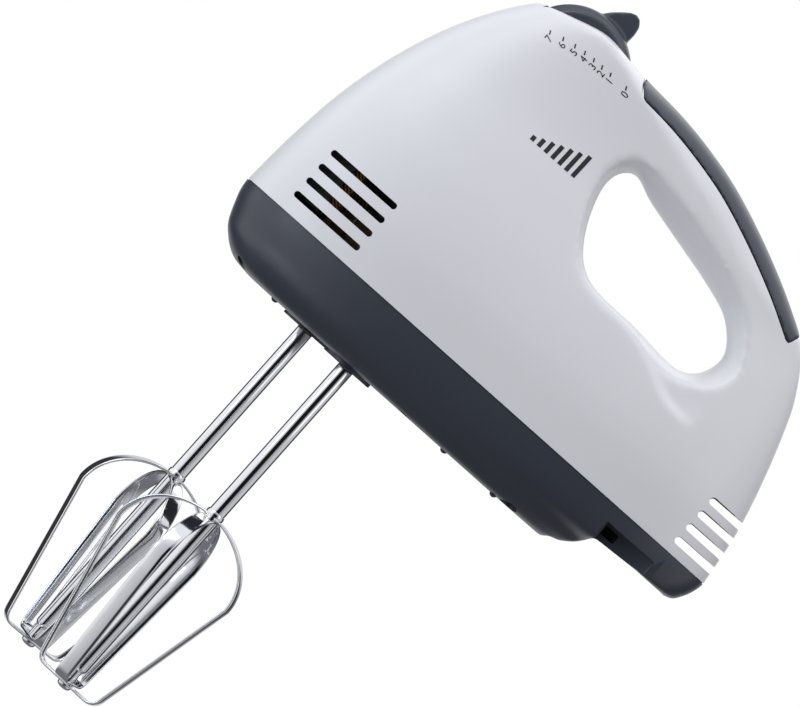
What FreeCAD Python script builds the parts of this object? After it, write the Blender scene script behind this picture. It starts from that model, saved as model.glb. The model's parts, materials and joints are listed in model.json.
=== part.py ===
"""Hand mixer: seven-speed kitchen mixer with two chromed beaters, as separate pieces.

Origin: the middle of the flat underside, halfway between the two beater sockets.
+X points to the rear, +Z up, -Y is the left side.  The beaters point down.
"""
import FreeCAD, Part
import math
import os

import Sketcher

from FreeCAD import Placement, Rotation, Vector

# ------------------------------------------------------------------ driving sizes (mm, degrees)
SIZES = {
    # housing
    "seam_height": 23, "seam_gap": 0.6, "wall": 2.4, "outline_power": 2.8,
    "floor": 2.2, "step_front": 93, "step_rise": 11.6, "step_radius": 12, "strip_side": 5.5,
    "boss_radius": 4, "screw_hole_radius": 1.4, "screw_shank_radius": 1.3, "head_bore_radius": 3.1,
    "screw_head_radius": 2.8, "screw_head": 2.4, "screw_length": 16, "base_screw_length": 12,
    # front and rear air slots
    "front_slot_start": -40.5, "front_slot_end": -13, "front_slot_height": 2.3,
    "front_slot_first": 29.9, "front_slot_pitch": 5.85,
    "rear_slot_start": 124.7, "rear_slot_height": 2.7, "rear_slot_first": 28.3, "rear_slot_pitch": 5.55,
    # speed dial
    "dial_at": -2, "dial_height": 119, "dial_radius": 20, "dial_width": 19, "dial_rim_radius": 17.8,
    "dial_gap": 0.7, "fin_width": 9, "pin_radius": 2.5, "eject_travel": 4,
    # motor and drive
    "motor_height": 44, "motor_front": -50.4, "shaft_radius": 2.5,
    "stack_front": -44, "stack_rear": -30, "stator_width": 38, "stator_tall": 34,
    "coil_front": -46.4, "coil_rear": -26, "coil_height": 21.2, "bush_radius": 5,
    "core_radius": 12, "air_gap": 0.5, "commutator_radius": 6, "commutator_front": -28.5,
    "commutator_rear": -20, "fan_radius": 21.5, "fan_front": 31.5, "fan_depth": 8,
    "tooth_module": 1, "gear_teeth": 28, "gear_low": 39, "gear_high": 49,
    "worm_pitch_radius": 4.5, "worm_turns": 9.6,
    # beater sockets
    "socket_offset_x": 10, "socket_offset_y": 18.5, "sleeve_radius": 6, "sleeve_top": 52,
    "collar_radius": 9.5, "collar_drop": 1.3,
    # beaters
    "beater_radius": 2.9, "beater_fit": 0.05, "beater_top": 47, "hub_drop": 64.5,
    "head_length": 72, "head_radius": 24.4, "head_shoulder": 20, "head_foot": 12.5, "foot_corner": 3.5,
    "strip_width": 5.4, "strip_thickness": 0.9,
    "near_angle": -11, "far_angle": 22.8,
}

# Level curves of the white housing: height, front end, rear end, half width, how much it narrows rearwards
STATIONS = (
    (23.0, -55.2, 141.2, 41.0, 0.08), (43.0, -53.9, 138.3, 40.4, 0.12), (63.0, -51.4, 132.9, 37.6, 0.20),
    (82.0, -46.9, 126.2, 33.0, 0.30), (98.0, -41.2, 119.0, 28.4, 0.40), (110.0, -35.4, 112.5, 25.4, 0.42),
    (120.0, -29.2, 105.0, 23.4, 0.42), (128.0, -22.9, 97.0, 22.0, 0.42), (138.0, -14.0, 86.0, 20.4, 0.42),
)
# Level curves of the grey base, going down: share of the corner height, and of the corner run-in
BASE_DROP = 21.5
NOSE_RUN = 20.0
SIDE_RUN = 9.5

doc = FreeCAD.newDocument("hand_mixer")
sheet = doc.addObject("Spreadsheet::Sheet", "sizes")
for row, (alias, size) in enumerate(SIZES.items(), start=1):
    sheet.set(f"A{row}", alias)
    sheet.set(f"B{row}", str(size))
    sheet.setAlias(f"B{row}", alias)
for count, (height, front, rear, half, taper) in enumerate(STATIONS, start=1):
    row = len(SIZES) + count
    for column, word, size in zip("BCDEF", ("height", "front", "rear", "half_width", "narrowing"),
                                  (height, front, rear, half, taper)):
        sheet.set(f"{column}{row}", str(size))
        sheet.setAlias(f"{column}{row}", f"station_{word}_{count}")
doc.recompute()

NODES = []


def size(alias):
    """A driving size, read back from the sheet."""
    return float(sheet.get(alias))


def keep(thing, label):
    """Marks an object as a finished piece."""
    thing.Label = label
    NODES.append(thing)
    return thing


def bind(thing, prop, value):
    """Sets a property to a number, or ties it to the sheet with a formula."""
    if isinstance(value, str):
        thing.setExpression(prop, value)
    else:
        parts = prop.split(".")
        if len(parts) == 1:
            setattr(thing, prop, value)
        else:
            base = thing.Placement.Base
            setattr(base, parts[-1], value)
            thing.Placement = Placement(base, thing.Placement.Rotation)


def s(formula):
    """Turns sheet names in a formula into references, so that s("wall * 2") means sizes.wall * 2."""
    out = []
    for word in formula.replace("(", " ( ").replace(")", " ) ").split():
        out.append("sizes." + word if word in SIZES or word.startswith("station_") else word)
    return " ".join(out)


def put(thing, at):
    """Places a primitive; each coordinate is a number or a formula."""
    for axis, value in zip("xyz", at):
        bind(thing, f"Placement.Base.{axis}", s(value) if isinstance(value, str) else value)


def turn_to(thing, axis):
    """Turns a primitive's own +Z to the named axis."""
    turns = {"x": Rotation(Vector(0, 1, 0), 90), "y": Rotation(Vector(1, 0, 0), -90), "z": Rotation()}
    thing.Placement = Placement(thing.Placement.Base, turns[axis])


def rod(name, radius, length, at=(0, 0, 0), axis="z"):
    """A round bar that starts at a point and runs along an axis."""
    thing = doc.addObject("Part::Cylinder", name)
    bind(thing, "Radius", s(radius) if isinstance(radius, str) else radius)
    bind(thing, "Height", s(length) if isinstance(length, str) else length)
    turn_to(thing, axis)
    put(thing, at)
    return thing


def block(name, lengths, at=(0, 0, 0)):
    """A rectangular bar with its low corner at a point."""
    thing = doc.addObject("Part::Box", name)
    for prop, value in zip(("Length", "Width", "Height"), lengths):
        bind(thing, prop, s(value) if isinstance(value, str) else value)
    put(thing, at)
    return thing


def fused(name, things):
    """Several solids joined into one."""
    out = doc.addObject("Part::MultiFuse", name)
    out.Shapes = list(things)
    out.Refine = True
    return out


def less(name, base, tool):
    """One solid with another taken out of it."""
    out = doc.addObject("Part::Cut", name)
    out.Base, out.Tool = base, tool
    return out


def group(name, things):
    """Like pieces that stay separate solids in one object."""
    out = doc.addObject("Part::Compound", name)
    out.Links = list(things)
    return out


def shaped(name, shape):
    """A free-form piece whose shape is worked out here from the sheet."""
    out = doc.addObject("Part::Feature", name)
    out.Shape = shape
    return out


def ring(name, outer, inner, length, at=(0, 0, 0), axis="z"):
    """A plain bush or washer."""
    return less(name, rod(name + "_outside", outer, length, at, axis),
                rod(name + "_bore", inner, length, at, axis))


def new_body(name):
    """A design body, and its origin planes by name."""
    body = doc.addObject("PartDesign::Body", name)
    planes = {part.Role: part for part in body.Origin.OriginFeatures}
    return body, planes


def new_sketch(body, plane, name, outline, bound=()):
    """A sketch of joined curves on an origin plane; bound ties lines' or circles' sizes to the sheet."""
    sketch = body.newObject("Sketcher::SketchObject", name)
    sketch.AttachmentSupport = (plane, [""])
    sketch.MapMode = "FlatFace"
    for curve in outline:
        sketch.addGeometry(curve, False)
    for kind, index, formula in bound:
        curve = sketch.Geometry[index]
        value = curve.Radius if kind == "Radius" else curve.length()
        number = sketch.addConstraint(Sketcher.Constraint(kind, index, value))
        sketch.setExpression(f"Constraints[{number}]", s(formula))
    return sketch


def lines(points):
    """Straight runs between points, closed back to the first."""
    corners = [Vector(*point, 0) if len(point) == 2 else Vector(*point) for point in points]
    return [Part.LineSegment(a, b) for a, b in zip(corners, corners[1:] + corners[:1])]


def turned(name, outline):
    """A design body turned about its own Z from a half outline of (radius, height) points."""
    body, planes = new_body(name)
    sketch = new_sketch(body, planes["XZ_Plane"], name + "_outline", lines(outline))
    turn = body.newObject("PartDesign::Revolution", name + "_turn")
    turn.Profile = sketch
    turn.ReferenceAxis = (sketch, ["V_Axis"])
    turn.Angle = 360
    return body


def prism(outline, low_y, high_y):
    """Curves in the side view, carried across from one Y to another."""
    wire = Part.Wire(Part.__sortEdges__([curve.toShape() for curve in outline]))
    face = Part.Face(wire)
    face.translate(Vector(0, low_y, 0))
    return face.extrude(Vector(0, high_y - low_y, 0))


def side(points):
    """Side-view points (x, z) as vectors."""
    return [Vector(x, 0, z) for x, z in points]


# ------------------------------------------------------------------ housing skins
def level_curve(height, front, rear, half, taper, inset=0.0):
    """One closed level curve: blunt nose, long sides that draw in towards the rear."""
    front, rear, half = front + inset, rear - inset, half - inset
    middle, reach = (front + rear) / 2, (rear - front) / 2
    power = 2 / size("outline_power")
    points = []
    for step in range(28):
        angle = math.tau * step / 28
        c, n = math.cos(angle), math.sin(angle)
        x = -math.copysign(abs(c) ** power, c)
        y = math.copysign(abs(n) ** power, n) * half * (1 - taper * (x + 1) / 2)
        points.append(Vector(middle + reach * x, y, height))
    curve = Part.BSplineCurve()
    curve.interpolate(Points=points, PeriodicFlag=True)
    return Part.Wire(curve.toShape())


def housing_block(inset=0.0, low=0.0):
    """The white housing as a full block, before its top and grip opening are cut."""
    curves = []
    for count in range(1, len(STATIONS) + 1):
        values = [size(f"station_{word}_{count}") for word in
                  ("height", "front", "rear", "half_width", "narrowing")]
        if count == 1:
            values[0] += low
        curves.append(level_curve(*values, inset))
    return Part.makeLoft(curves, True, False)


# Side-view line over the dial cheeks and down the grip: x, height
TOP_LINE = ((-44, 118), (-23, 127.9), (-12, 131.4), (1, 134.6), (10, 133.8), (19.2, 132.3), (35.4, 131.1),
            (48, 129.2), (63, 125.6), (78.5, 119.9), (93.8, 113), (105, 107), (112.5, 102.2), (120, 93.4),
            (127, 80.5), (134, 62))
# Finger opening in the side view: x, height
GRIP_HOLE = ((31.6, 99), (36.5, 107.2), (47, 103.8), (63, 99.8), (78, 96), (90, 91.2), (97.6, 81),
             (91, 69.6), (70, 70.2), (49.5, 71.6), (38, 81.5))


def grip_opening(grow=0.0):
    """The finger opening as a solid to cut away, its outline grown outwards by grow."""
    count = len(GRIP_HOLE)
    points = []
    for index, (x, z) in enumerate(GRIP_HOLE):
        before, after = GRIP_HOLE[index - 1], GRIP_HOLE[(index + 1) % count]
        along = Vector(after[0] - before[0], 0, after[1] - before[1]).normalize()
        points.append(Vector(x, -60, z) + Vector(-along.z, 0, along.x) * grow)
    curve = Part.BSplineCurve()
    curve.interpolate(Points=points, PeriodicFlag=True)
    return Part.Face(Part.Wire(curve.toShape())).extrude(Vector(0, 120, 0))


def over(line, drop=0.0, low_y=-60, high_y=60):
    """Everything above a side-view line, lowered by drop."""
    curve = Part.BSplineCurve()
    curve.interpolate(side([(x, z - drop) for x, z in line]))
    edge = curve.toShape()
    edge.translate(Vector(0, low_y, 0))
    return edge.extrude(Vector(0, high_y - low_y, 0)).extrude(Vector(0, 0, 60))


def box(low, high):
    """A block between two corners."""
    corner = Vector(*low)
    reach = Vector(*high) - corner
    return Part.makeBox(reach.x, reach.y, reach.z, corner)


def bar(radius, start, end):
    """A round bar between two points."""
    axis = Vector(*end) - Vector(*start)
    return Part.makeCylinder(radius, axis.Length, Vector(*start), axis)


def joined(shapes, tidy=True):
    """Shapes fused one after another, and cleaned of their inner seams where that leaves a sound solid."""
    whole = shapes[0]
    for shape in shapes[1:]:
        whole = whole.fuse(shape)
    clean = whole.removeSplitter() if tidy else whole
    return clean if clean.isValid() else whole


WALL = size("wall")
SEAM = size("seam_height")
ROOF = WALL + 5.2
STRIP_SIDE = size("strip_side")
BOSSES = ((-36, 76), (62, 56), (114, 48), (106, 92))
SCREW_RADIUS = size("screw_hole_radius")
HEAD_BORE = size("head_bore_radius")
DIAL = Vector(size("dial_at"), 0, size("dial_height"))


def slot_boxes(start, end, first, pitch, height, count=4):
    """A ladder of air slots cut right across."""
    middles = [first + pitch * step for step in range(count)]
    return [box((start, -60, middle - height / 2), (end, 60, middle + height / 2)) for middle in middles]


def dial_well():
    """The space that the dial turns in and is pressed down into."""
    reach = size("dial_radius") + size("dial_gap")
    half = size("dial_width") / 2 + size("dial_gap")
    travel = size("eject_travel") + 0.4
    high = bar(reach, (DIAL.x, -half, DIAL.z), (DIAL.x, half, DIAL.z))
    low = bar(reach, (DIAL.x, -half, DIAL.z - travel), (DIAL.x, half, DIAL.z - travel))
    return joined([high, low, box((DIAL.x - reach, -half, DIAL.z - travel), (DIAL.x + reach, half, DIAL.z))])


def strip_zone(gap=0.0):
    """The band along the top of the grip that the dark strip fills."""
    long = box((20 - gap, -60, 60), (111 + gap, 60, 160))
    tip = bar(STRIP_SIDE / 2 + gap, (111.2, -60, 100.5), (111.2, 60, 100.5))
    return over(TOP_LINE, STRIP_SIDE + gap).common(long.fuse(tip))


full = housing_block().cut(over(TOP_LINE)).cut(grip_opening())
cavity = housing_block(WALL, -1).cut(over(TOP_LINE, ROOF)).cut(grip_opening(WALL))
posts = joined([bar(size("boss_radius"), (x, -40, z), (x, 40, z)) for x, z in BOSSES]).common(full)
shell = joined([full.cut(cavity), posts], tidy=False)
for x, z in BOSSES:
    shell = shell.cut(bar(SCREW_RADIUS, (x, -12, z), (x, 9, z)))
    shell = shell.cut(bar(HEAD_BORE, (x, 8, z), (x, 60, z)))
slots = slot_boxes(size("front_slot_start"), size("front_slot_end"), size("front_slot_first"),
                   size("front_slot_pitch"), size("front_slot_height"))
slots += slot_boxes(size("rear_slot_start"), 160, size("rear_slot_first"), size("rear_slot_pitch"),
                    size("rear_slot_height"))
for slot in slots:
    shell = shell.cut(slot)
shell = shell.cut(dial_well())
shell = shell.cut(strip_zone(0.1))
keep(shaped("ShellLeft", shell.common(box((-80, -80, 0), (180, 0, 180)))), "shell_left")
keep(shaped("ShellRight", shell.common(box((-80, 0, 0), (180, 80, 180)))), "shell_right")
keep(shaped("GripStrip", full.common(strip_zone())), "grip_strip")


# ------------------------------------------------------------------ base cover
def base_block(inset=0.0, floor=0.0):
    """The grey base as a full block: round chin, softly turned-in sides."""
    top = SEAM - size("seam_gap")
    curves = []
    for share in (1.0, 0.8, 0.6, 0.42, 0.28, 0.16, 0.07, 0.0):
        height = floor + (top - floor) * share
        nose = (NOSE_RUN - inset) * (1 - math.sqrt(1 - (1 - share) ** 2))
        fall = max(0.0, 1 - (height - floor) / (SIDE_RUN - inset / 2))
        turn_in = (SIDE_RUN - inset) * (1 - math.sqrt(1 - fall ** 2)) * 0.9
        front, rear, half, taper = (size(f"station_{word}_1") for word in
                                    ("front", "rear", "half_width", "narrowing"))
        curves.append(level_curve(height, front + inset + nose, rear - inset - turn_in,
                                  half - inset - turn_in, taper))
    return Part.makeLoft(curves, True, False)


def step_cut(rise=0.0):
    """What is taken off behind the deep part of the base; rise lifts it for the inside."""
    start, height, reach = size("step_front"), size("step_rise") + rise, size("step_radius")
    arc = Part.Arc(Vector(start - rise, 0, rise), Vector(start - rise + reach * 0.7, 0, rise + reach * 0.26),
                   Vector(start - rise + reach, 0, height))
    heel = Part.Arc(Vector(130 - rise, 0, height), Vector(137.6 - rise, 0, height + 3),
                    Vector(141.6 - rise, 0, SEAM - 0.6))
    far = [heel.EndPoint, Vector(170, 0, heel.EndPoint.z), Vector(170, 0, -10),
           Vector(start - rise, 0, -10), arc.StartPoint]
    border = [arc, Part.LineSegment(arc.EndPoint, heel.StartPoint), heel]
    border += [Part.LineSegment(a, b) for a, b in zip(far, far[1:])]
    return prism(border, -60, 60)


SOCKETS = tuple((way * size("socket_offset_x"), -way * size("socket_offset_y")) for way in (1, -1))
SLEEVE = size("sleeve_radius")
BASE_SCREWS = ((-34, 0), (78, 24), (78, -24), (34, 27), (34, -27))
FLOOR = size("floor")
tub = base_block().cut(step_cut())
hollow = base_block(FLOOR, FLOOR).cut(step_cut(FLOOR))
hollow = hollow.fuse(box((-40, -30, 18), (80, 30, 30)).common(base_block(FLOOR)))
base = tub.cut(hollow)


def seam_block(low, high, inset_low, inset_high):
    """A block that follows the seam line, drawn in by its insets."""
    ends = STATIONS[0][1:]
    curves = [level_curve(low, *ends, inset_low), level_curve(high, *ends, inset_high)]
    return Part.makeLoft(curves, True, False)


lip = seam_block(20, 26, 2.6, 2.9).cut(seam_block(19, 27, 4.2, 4.2))
lip = lip.cut(box((120, -60, 22), (160, 60, 30)))
block_in = box((103, -60, 11), (127, -24, 20)).common(tub)
additions = [base, lip, block_in]
for x, y in SOCKETS:
    additions.append(bar(size("collar_radius"), (x, y, -size("collar_drop")), (x, y, 12)))
for x, y in BASE_SCREWS:
    additions.append(bar(size("boss_radius"), (x, y, 1.8), (x, y, 19.9)))
for x, y in ((-22, -14), (51, -30), (72, -31)):
    stud = Part.makeSphere(1.6, Vector(x, y, 0.5))
    additions.append(stud.common(box((x - 4, y - 4, -1.1), (x + 4, y + 4, 1))))
base = joined(additions, tidy=False)
for x, y in SOCKETS:
    base = base.cut(bar(SLEEVE + 0.3, (x, y, -5), (x, y, 30)))
    base = base.cut(bar(8.1, (x, y, 3), (x, y, 30)))
for x, y in BASE_SCREWS:
    base = base.cut(bar(HEAD_BORE, (x, y, -1), (x, y, 9)))
    base = base.cut(bar(SCREW_RADIUS, (x, y, 0), (x, y, 30)))
base = base.cut(box((105, -60, 11), (125, -28, 18)))
base = base.cut(box((105.6, -60, 13.4), (111, -20, 16.6)))
keep(shaped("BaseCover", base), "base_cover")


def screw(name, at, axis, shank):
    """One cross-head self-tapping screw, its head at the start."""
    top = rod(name + "_head", "screw_head_radius", "screw_head", at, "z")
    stem = rod(name + "_shank", "screw_shank_radius", f"{shank} + screw_head", at, "z")
    cross = [block(name + "_cross_a", (3.2, 0.7, 1.0), (-1.6, -0.35, 0)),
             block(name + "_cross_b", (0.7, 3.2, 1.0), (-0.35, -1.6, 0))]
    for bit in cross:
        base_at = bit.Placement.Base + Vector(*at)
        bit.Placement = Placement(base_at, Rotation())
    whole = less(name, fused(name + "_solid", [top, stem]), fused(name + "_cross", cross))
    if axis == "-y":
        turn = Rotation(Vector(1, 0, 0), 90)
        whole.Placement = Placement(Vector(*at) - turn.multVec(Vector(*at)), turn)
    return whole


keep(group("ShellScrews", [screw(f"ShellScrew{n}", (x, 8 + size("screw_head"), z), "-y", "screw_length")
                           for n, (x, z) in enumerate(BOSSES)]), "shell_screws")
keep(group("BaseScrews", [screw(f"BaseScrew{n}", (x, y, 6.4), "z", "base_screw_length")
                          for n, (x, y) in enumerate(BASE_SCREWS)]), "base_screws")

# ------------------------------------------------------------------ drive frame and bushes
AXIS = size("motor_height")
SHAFT = size("shaft_radius")
BUSH = size("bush_radius")
inside_lip = seam_block(19, 25, 4.5, 4.5)
plate = [box((-50.4, -14, 20), (-29, 14, 23)).common(inside_lip),
         box((-30, -30, 20), (30.6, 30, 22.4)).common(inside_lip),
         box((-50.4, -7, 20), (-48.2, 7, AXIS + 5.6)), box((27, -9, 20), (30, 9, AXIS + 8)),
         box((-44, -14, 23), (-30, -10, 26)), box((-44, 10, 23), (-30, 14, 26)),
         bar(BUSH + 2.5, (27, 0, AXIS), (30.6, 0, AXIS)),
         box((-29.8, -2, 20), (-27.8, 2, 32)), box((-20.2, -2, 20), (-8, 2, 38))]
plate += [bar(10, (x, y, 20), (x, y, 34)) for x, y in SOCKETS]
frame = joined(plate)
for x, y in SOCKETS:
    frame = frame.cut(bar(8.1, (x, y, 24), (x, y, 40))).cut(bar(SLEEVE + 0.3, (x, y, 10), (x, y, 40)))
frame = frame.cut(bar(BUSH, (-60, 0, AXIS), (40, 0, AXIS)))
for x, y in BASE_SCREWS:
    frame = frame.cut(bar(1.6, (x, y, 10), (x, y, 30)))
keep(shaped("DriveFrame", frame), "drive_frame")
front_bush = ring("FrontBush", BUSH, "shaft_radius + 0.04", 2.2, ("motor_front", 0, "motor_height"), "x")
rear_bush = ring("RearBush", BUSH, "shaft_radius + 0.04", 3.6, (27, 0, "motor_height"), "x")
keep(front_bush, "front_motor_bush")
keep(rear_bush, "rear_motor_bush")
for word, sign in (("near", 1), ("far", -1)):
    at = (f"{sign} * socket_offset_x", f"{-sign} * socket_offset_y")
    keep(ring(f"LowerBush_{word}", 8, "sleeve_radius + 0.05", 8, (*at, 3.1)), f"lower_gear_bush_{word}")
    keep(ring(f"UpperBush_{word}", 8, "sleeve_radius + 0.05", 9.5, (*at, 24.1)), f"upper_gear_bush_{word}")

# ------------------------------------------------------------------ motor, fixed side
side_reach, up_reach = size("stator_width") / 2, size("stator_tall") / 2
stack = box((size("stack_front"), -side_reach, AXIS - up_reach),
            (size("stack_rear"), side_reach, AXIS + up_reach))
stack = stack.makeFillet(4, [e for e in stack.Edges if abs(e.tangentAt(0).x) > 0.9])
bore = size("core_radius") + size("air_gap")
stack = stack.cut(bar(bore, (-60, 0, AXIS), (0, 0, AXIS)))
for sign in (1, -1):
    for low in (-11.5, 6):
        a, b = sorted((sign * 8.8, sign * 17))
        stack = stack.cut(box((-60, a, AXIS + low), (0, b, AXIS + low + 5.5)))
keep(shaped("StatorCore", stack), "stator_core")
coils = []
coil_reach = size("coil_height") / 2
for sign in (1, -1):
    a, b = sorted((sign * 13.6, sign * 16.8))
    winding = box((size("coil_front"), a, AXIS - coil_reach), (size("coil_rear"), b, AXIS + coil_reach))
    corners = [edge for edge in winding.Edges if edge.Length > 3 and abs(edge.tangentAt(0).y) > 0.9]
    winding = winding.makeFillet(3.5, corners)
    coils.append(winding.cut(box((-44.2, a - 1, AXIS - 6.1), (-29.8, b + 1, AXIS + 6.1))))
keep(shaped("FieldCoils", Part.makeCompound(coils)), "field_coils")
carrier = joined([box((-27.5, -12, 23), (-25.4, 12, AXIS + 22)),
                  box((-27.5, -3.6, AXIS + 7), (-20.5, 3.6, AXIS + 18)),
                  box((-27.5, -3.6, AXIS - 18), (-20.5, 3.6, AXIS - 7))])
carrier = carrier.cut(bar(9.4, (-40, 0, AXIS), (-25, 0, AXIS)))
for low, high in ((AXIS + 5, AXIS + 17), (AXIS - 17, AXIS - 5)):
    carrier = carrier.cut(box((-26.2, -2.3, low), (-21.6, 2.3, high)))
keep(shaped("BrushCarrier", carrier), "brush_carrier")
CARBON = size("commutator_radius") + 0.3
brushes, springs = [], []
for sign in (1, -1):
    a, b = sorted((AXIS + sign * CARBON, AXIS + sign * 12.5))
    brushes.append(box((-26.1, -2.2, a), (-21.7, 2.2, b)))
    a, b = sorted((AXIS + sign * 12.6, AXIS + sign * 16.9))
    springs.append(bar(1.8, (-23.9, 0, a), (-23.9, 0, b)).cut(bar(1.1, (-23.9, 0, a), (-23.9, 0, b))))
keep(shaped("CarbonBrushes", Part.makeCompound(brushes)), "carbon_brushes")
keep(shaped("BrushSprings", Part.makeCompound(springs)), "brush_springs")

# ------------------------------------------------------------------ motor, turning side
keep(rod("MotorShaft", "shaft_radius", "fan_front + fan_depth - motor_front",
         ("motor_front + 0.2", 0, "motor_height"), "x"), "motor_shaft")
lobes = [bar(size("core_radius"), (size("stack_front"), 0, AXIS), (size("stack_rear"), 0, AXIS))]
core = lobes[0]
for step in range(12):
    angle = math.tau * step / 12
    y, z = 9.2 * math.cos(angle), 9.2 * math.sin(angle)
    core = core.cut(bar(1.7, (-60, y, AXIS + z), (0, y, AXIS + z)))
core = core.cut(bar(SHAFT, (-60, 0, AXIS), (0, 0, AXIS)))
keep(shaped("ArmatureCore", core), "armature_core")
wires = []
for step in range(12):
    angle = math.tau * step / 12
    y, z = 9.2 * math.cos(angle), 9.2 * math.sin(angle)
    wires.append(bar(1.6, (-46.5, y, AXIS + z), (-29, y, AXIS + z)))
ends = [bar(11, (-47.4, 0, AXIS), (-44.1, 0, AXIS)), bar(9, (-29.9, 0, AXIS), (-28.7, 0, AXIS))]
wound = joined(wires + ends).cut(bar(SHAFT, (-60, 0, AXIS), (0, 0, AXIS)))
keep(shaped("ArmatureWindings", wound), "armature_windings")
keep(ring("Commutator", "commutator_radius", "shaft_radius", "commutator_rear - commutator_front",
          ("commutator_front", 0, "motor_height"), "x"), "commutator")

PITCH = math.pi * size("tooth_module")
TEETH = int(size("gear_teeth"))
helix_start = -size("socket_offset_x") - PITCH / 4 - PITCH
core_radius = size("worm_pitch_radius") - 1.0
worm_length = PITCH * size("worm_turns")
helix = Part.makeHelix(PITCH, worm_length, core_radius)
tooth = Part.makePolygon([Vector(core_radius - 0.4, 0, -0.75), Vector(core_radius + 1.75, 0, -0.32),
                          Vector(core_radius + 1.75, 0, 0.32), Vector(core_radius - 0.4, 0, 0.75),
                          Vector(core_radius - 0.4, 0, -0.75)])
thread = Part.Wire(helix.Edges).makePipeShell([tooth], True, True)
thread.rotate(Vector(), Vector(0, 1, 0), 90)
thread.translate(Vector(helix_start, 0, AXIS))
trunk = bar(core_radius, (helix_start - 2, 0, AXIS), (helix_start + worm_length + 2, 0, AXIS))
worm = trunk.fuse(thread).cut(bar(SHAFT, (-60, 0, AXIS), (60, 0, AXIS)))
keep(shaped("Worm", worm), "worm")

fan_front, fan_radius = size("fan_front"), size("fan_radius")
fan_rear = fan_front + size("fan_depth")
fan = [bar(6, (fan_front, 0, AXIS), (fan_rear, 0, AXIS)),
       bar(fan_radius, (fan_front, 0, AXIS), (fan_front + 1.2, 0, AXIS))]
for step in range(9):
    blade = box((fan_front, 5, AXIS - 0.6), (fan_rear, fan_radius, AXIS + 0.6))
    blade.rotate(Vector(0, 0, AXIS), Vector(1, 0, 0), 360 * step / 9)
    fan.append(blade)
keep(shaped("CoolingFan", joined(fan).cut(bar(SHAFT, (-60, 0, AXIS), (60, 0, AXIS)))), "cooling_fan")


# ------------------------------------------------------------------ gears with beater sleeves
def tooth_gap(module, teeth):
    """The outline between two teeth, pointing along +Y."""
    pitch = module * teeth / 2
    root, tip = pitch - 1.15 * module, pitch + 1.3 * module
    low, mid, high = 0.46 * module, 0.83 * module, 1.28 * module
    return lines([(-low, root), (-mid, pitch), (-high, tip), (high, tip), (mid, pitch), (low, root)])


def drive_gear(word, sign):
    """A worm wheel on its sleeve; the beater shank goes up the sleeve."""
    body, planes = new_body(f"Gear_{word}")
    tip = size("gear_teeth") * size("tooth_module") / 2 + 0.85 * size("tooth_module")
    disc = new_sketch(body, planes["XY_Plane"], f"Gear_{word}_disc",
                      [Part.Circle(Vector(), Vector(0, 0, 1), tip)],
                      [("Radius", 0, "(gear_teeth / 2 + 0.85) * tooth_module")])
    disc.AttachmentOffset = Placement(Vector(0, 0, size("gear_low")), Rotation())
    wheel = body.newObject("PartDesign::Pad", f"Gear_{word}_wheel")
    wheel.Profile = disc
    wheel.setExpression("Length", "sizes.gear_high - sizes.gear_low")
    doc.recompute()
    gap = new_sketch(body, planes["XY_Plane"], f"Gear_{word}_gap",
                     tooth_gap(size("tooth_module"), size("gear_teeth")))
    gap.AttachmentOffset = Placement(Vector(0, 0, size("gear_low") - 1), Rotation())
    cut = body.newObject("PartDesign::Pocket", f"Gear_{word}_cut")
    cut.Profile = gap
    cut.Length = 20
    cut.Reversed = True
    doc.recompute()
    ring_of = body.newObject("PartDesign::PolarPattern", f"Gear_{word}_teeth")
    ring_of.Originals = [cut]
    ring_of.Axis = (disc, ["N_Axis"])
    ring_of.Angle = 360
    ring_of.Occurrences = TEETH
    body.Tip = ring_of
    doc.recompute()
    circle = new_sketch(body, planes["XY_Plane"], f"Gear_{word}_sleeve",
                        [Part.Circle(Vector(), Vector(0, 0, 1), SLEEVE)], [("Radius", 0, "sleeve_radius")])
    circle.AttachmentOffset = Placement(Vector(0, 0, -0.9), Rotation())
    tube = body.newObject("PartDesign::Pad", f"Gear_{word}_tube")
    tube.Profile = circle
    tube.setExpression("Length", "sizes.sleeve_top + 0.9")
    doc.recompute()
    hole = new_sketch(body, planes["XY_Plane"], f"Gear_{word}_socket",
                      [Part.Circle(Vector(), Vector(0, 0, 1), size("beater_radius") + size("beater_fit"))],
                      [("Radius", 0, "beater_radius + beater_fit")])
    hole.AttachmentOffset = Placement(Vector(0, 0, -2), Rotation())
    socket = body.newObject("PartDesign::Pocket", f"Gear_{word}_bore")
    socket.Profile = hole
    socket.Length = 80
    socket.Reversed = True
    body.Tip = socket
    crest = -size("socket_offset_x") + (PITCH / 2 if sign > 0 else 0)
    centre = sign * size("socket_offset_x")
    crest += PITCH * round((centre - crest) / PITCH)
    shift = math.degrees((crest - centre) / (size("tooth_module") * TEETH / 2))
    turn = -shift if sign > 0 else 180 + shift
    at = Vector(centre, -sign * size("socket_offset_y"), 0)
    body.Placement = Placement(at, Rotation(Vector(0, 0, 1), turn))
    return keep(body, f"drive_gear_{word}")


drive_gear("near", 1)
drive_gear("far", -1)


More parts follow.
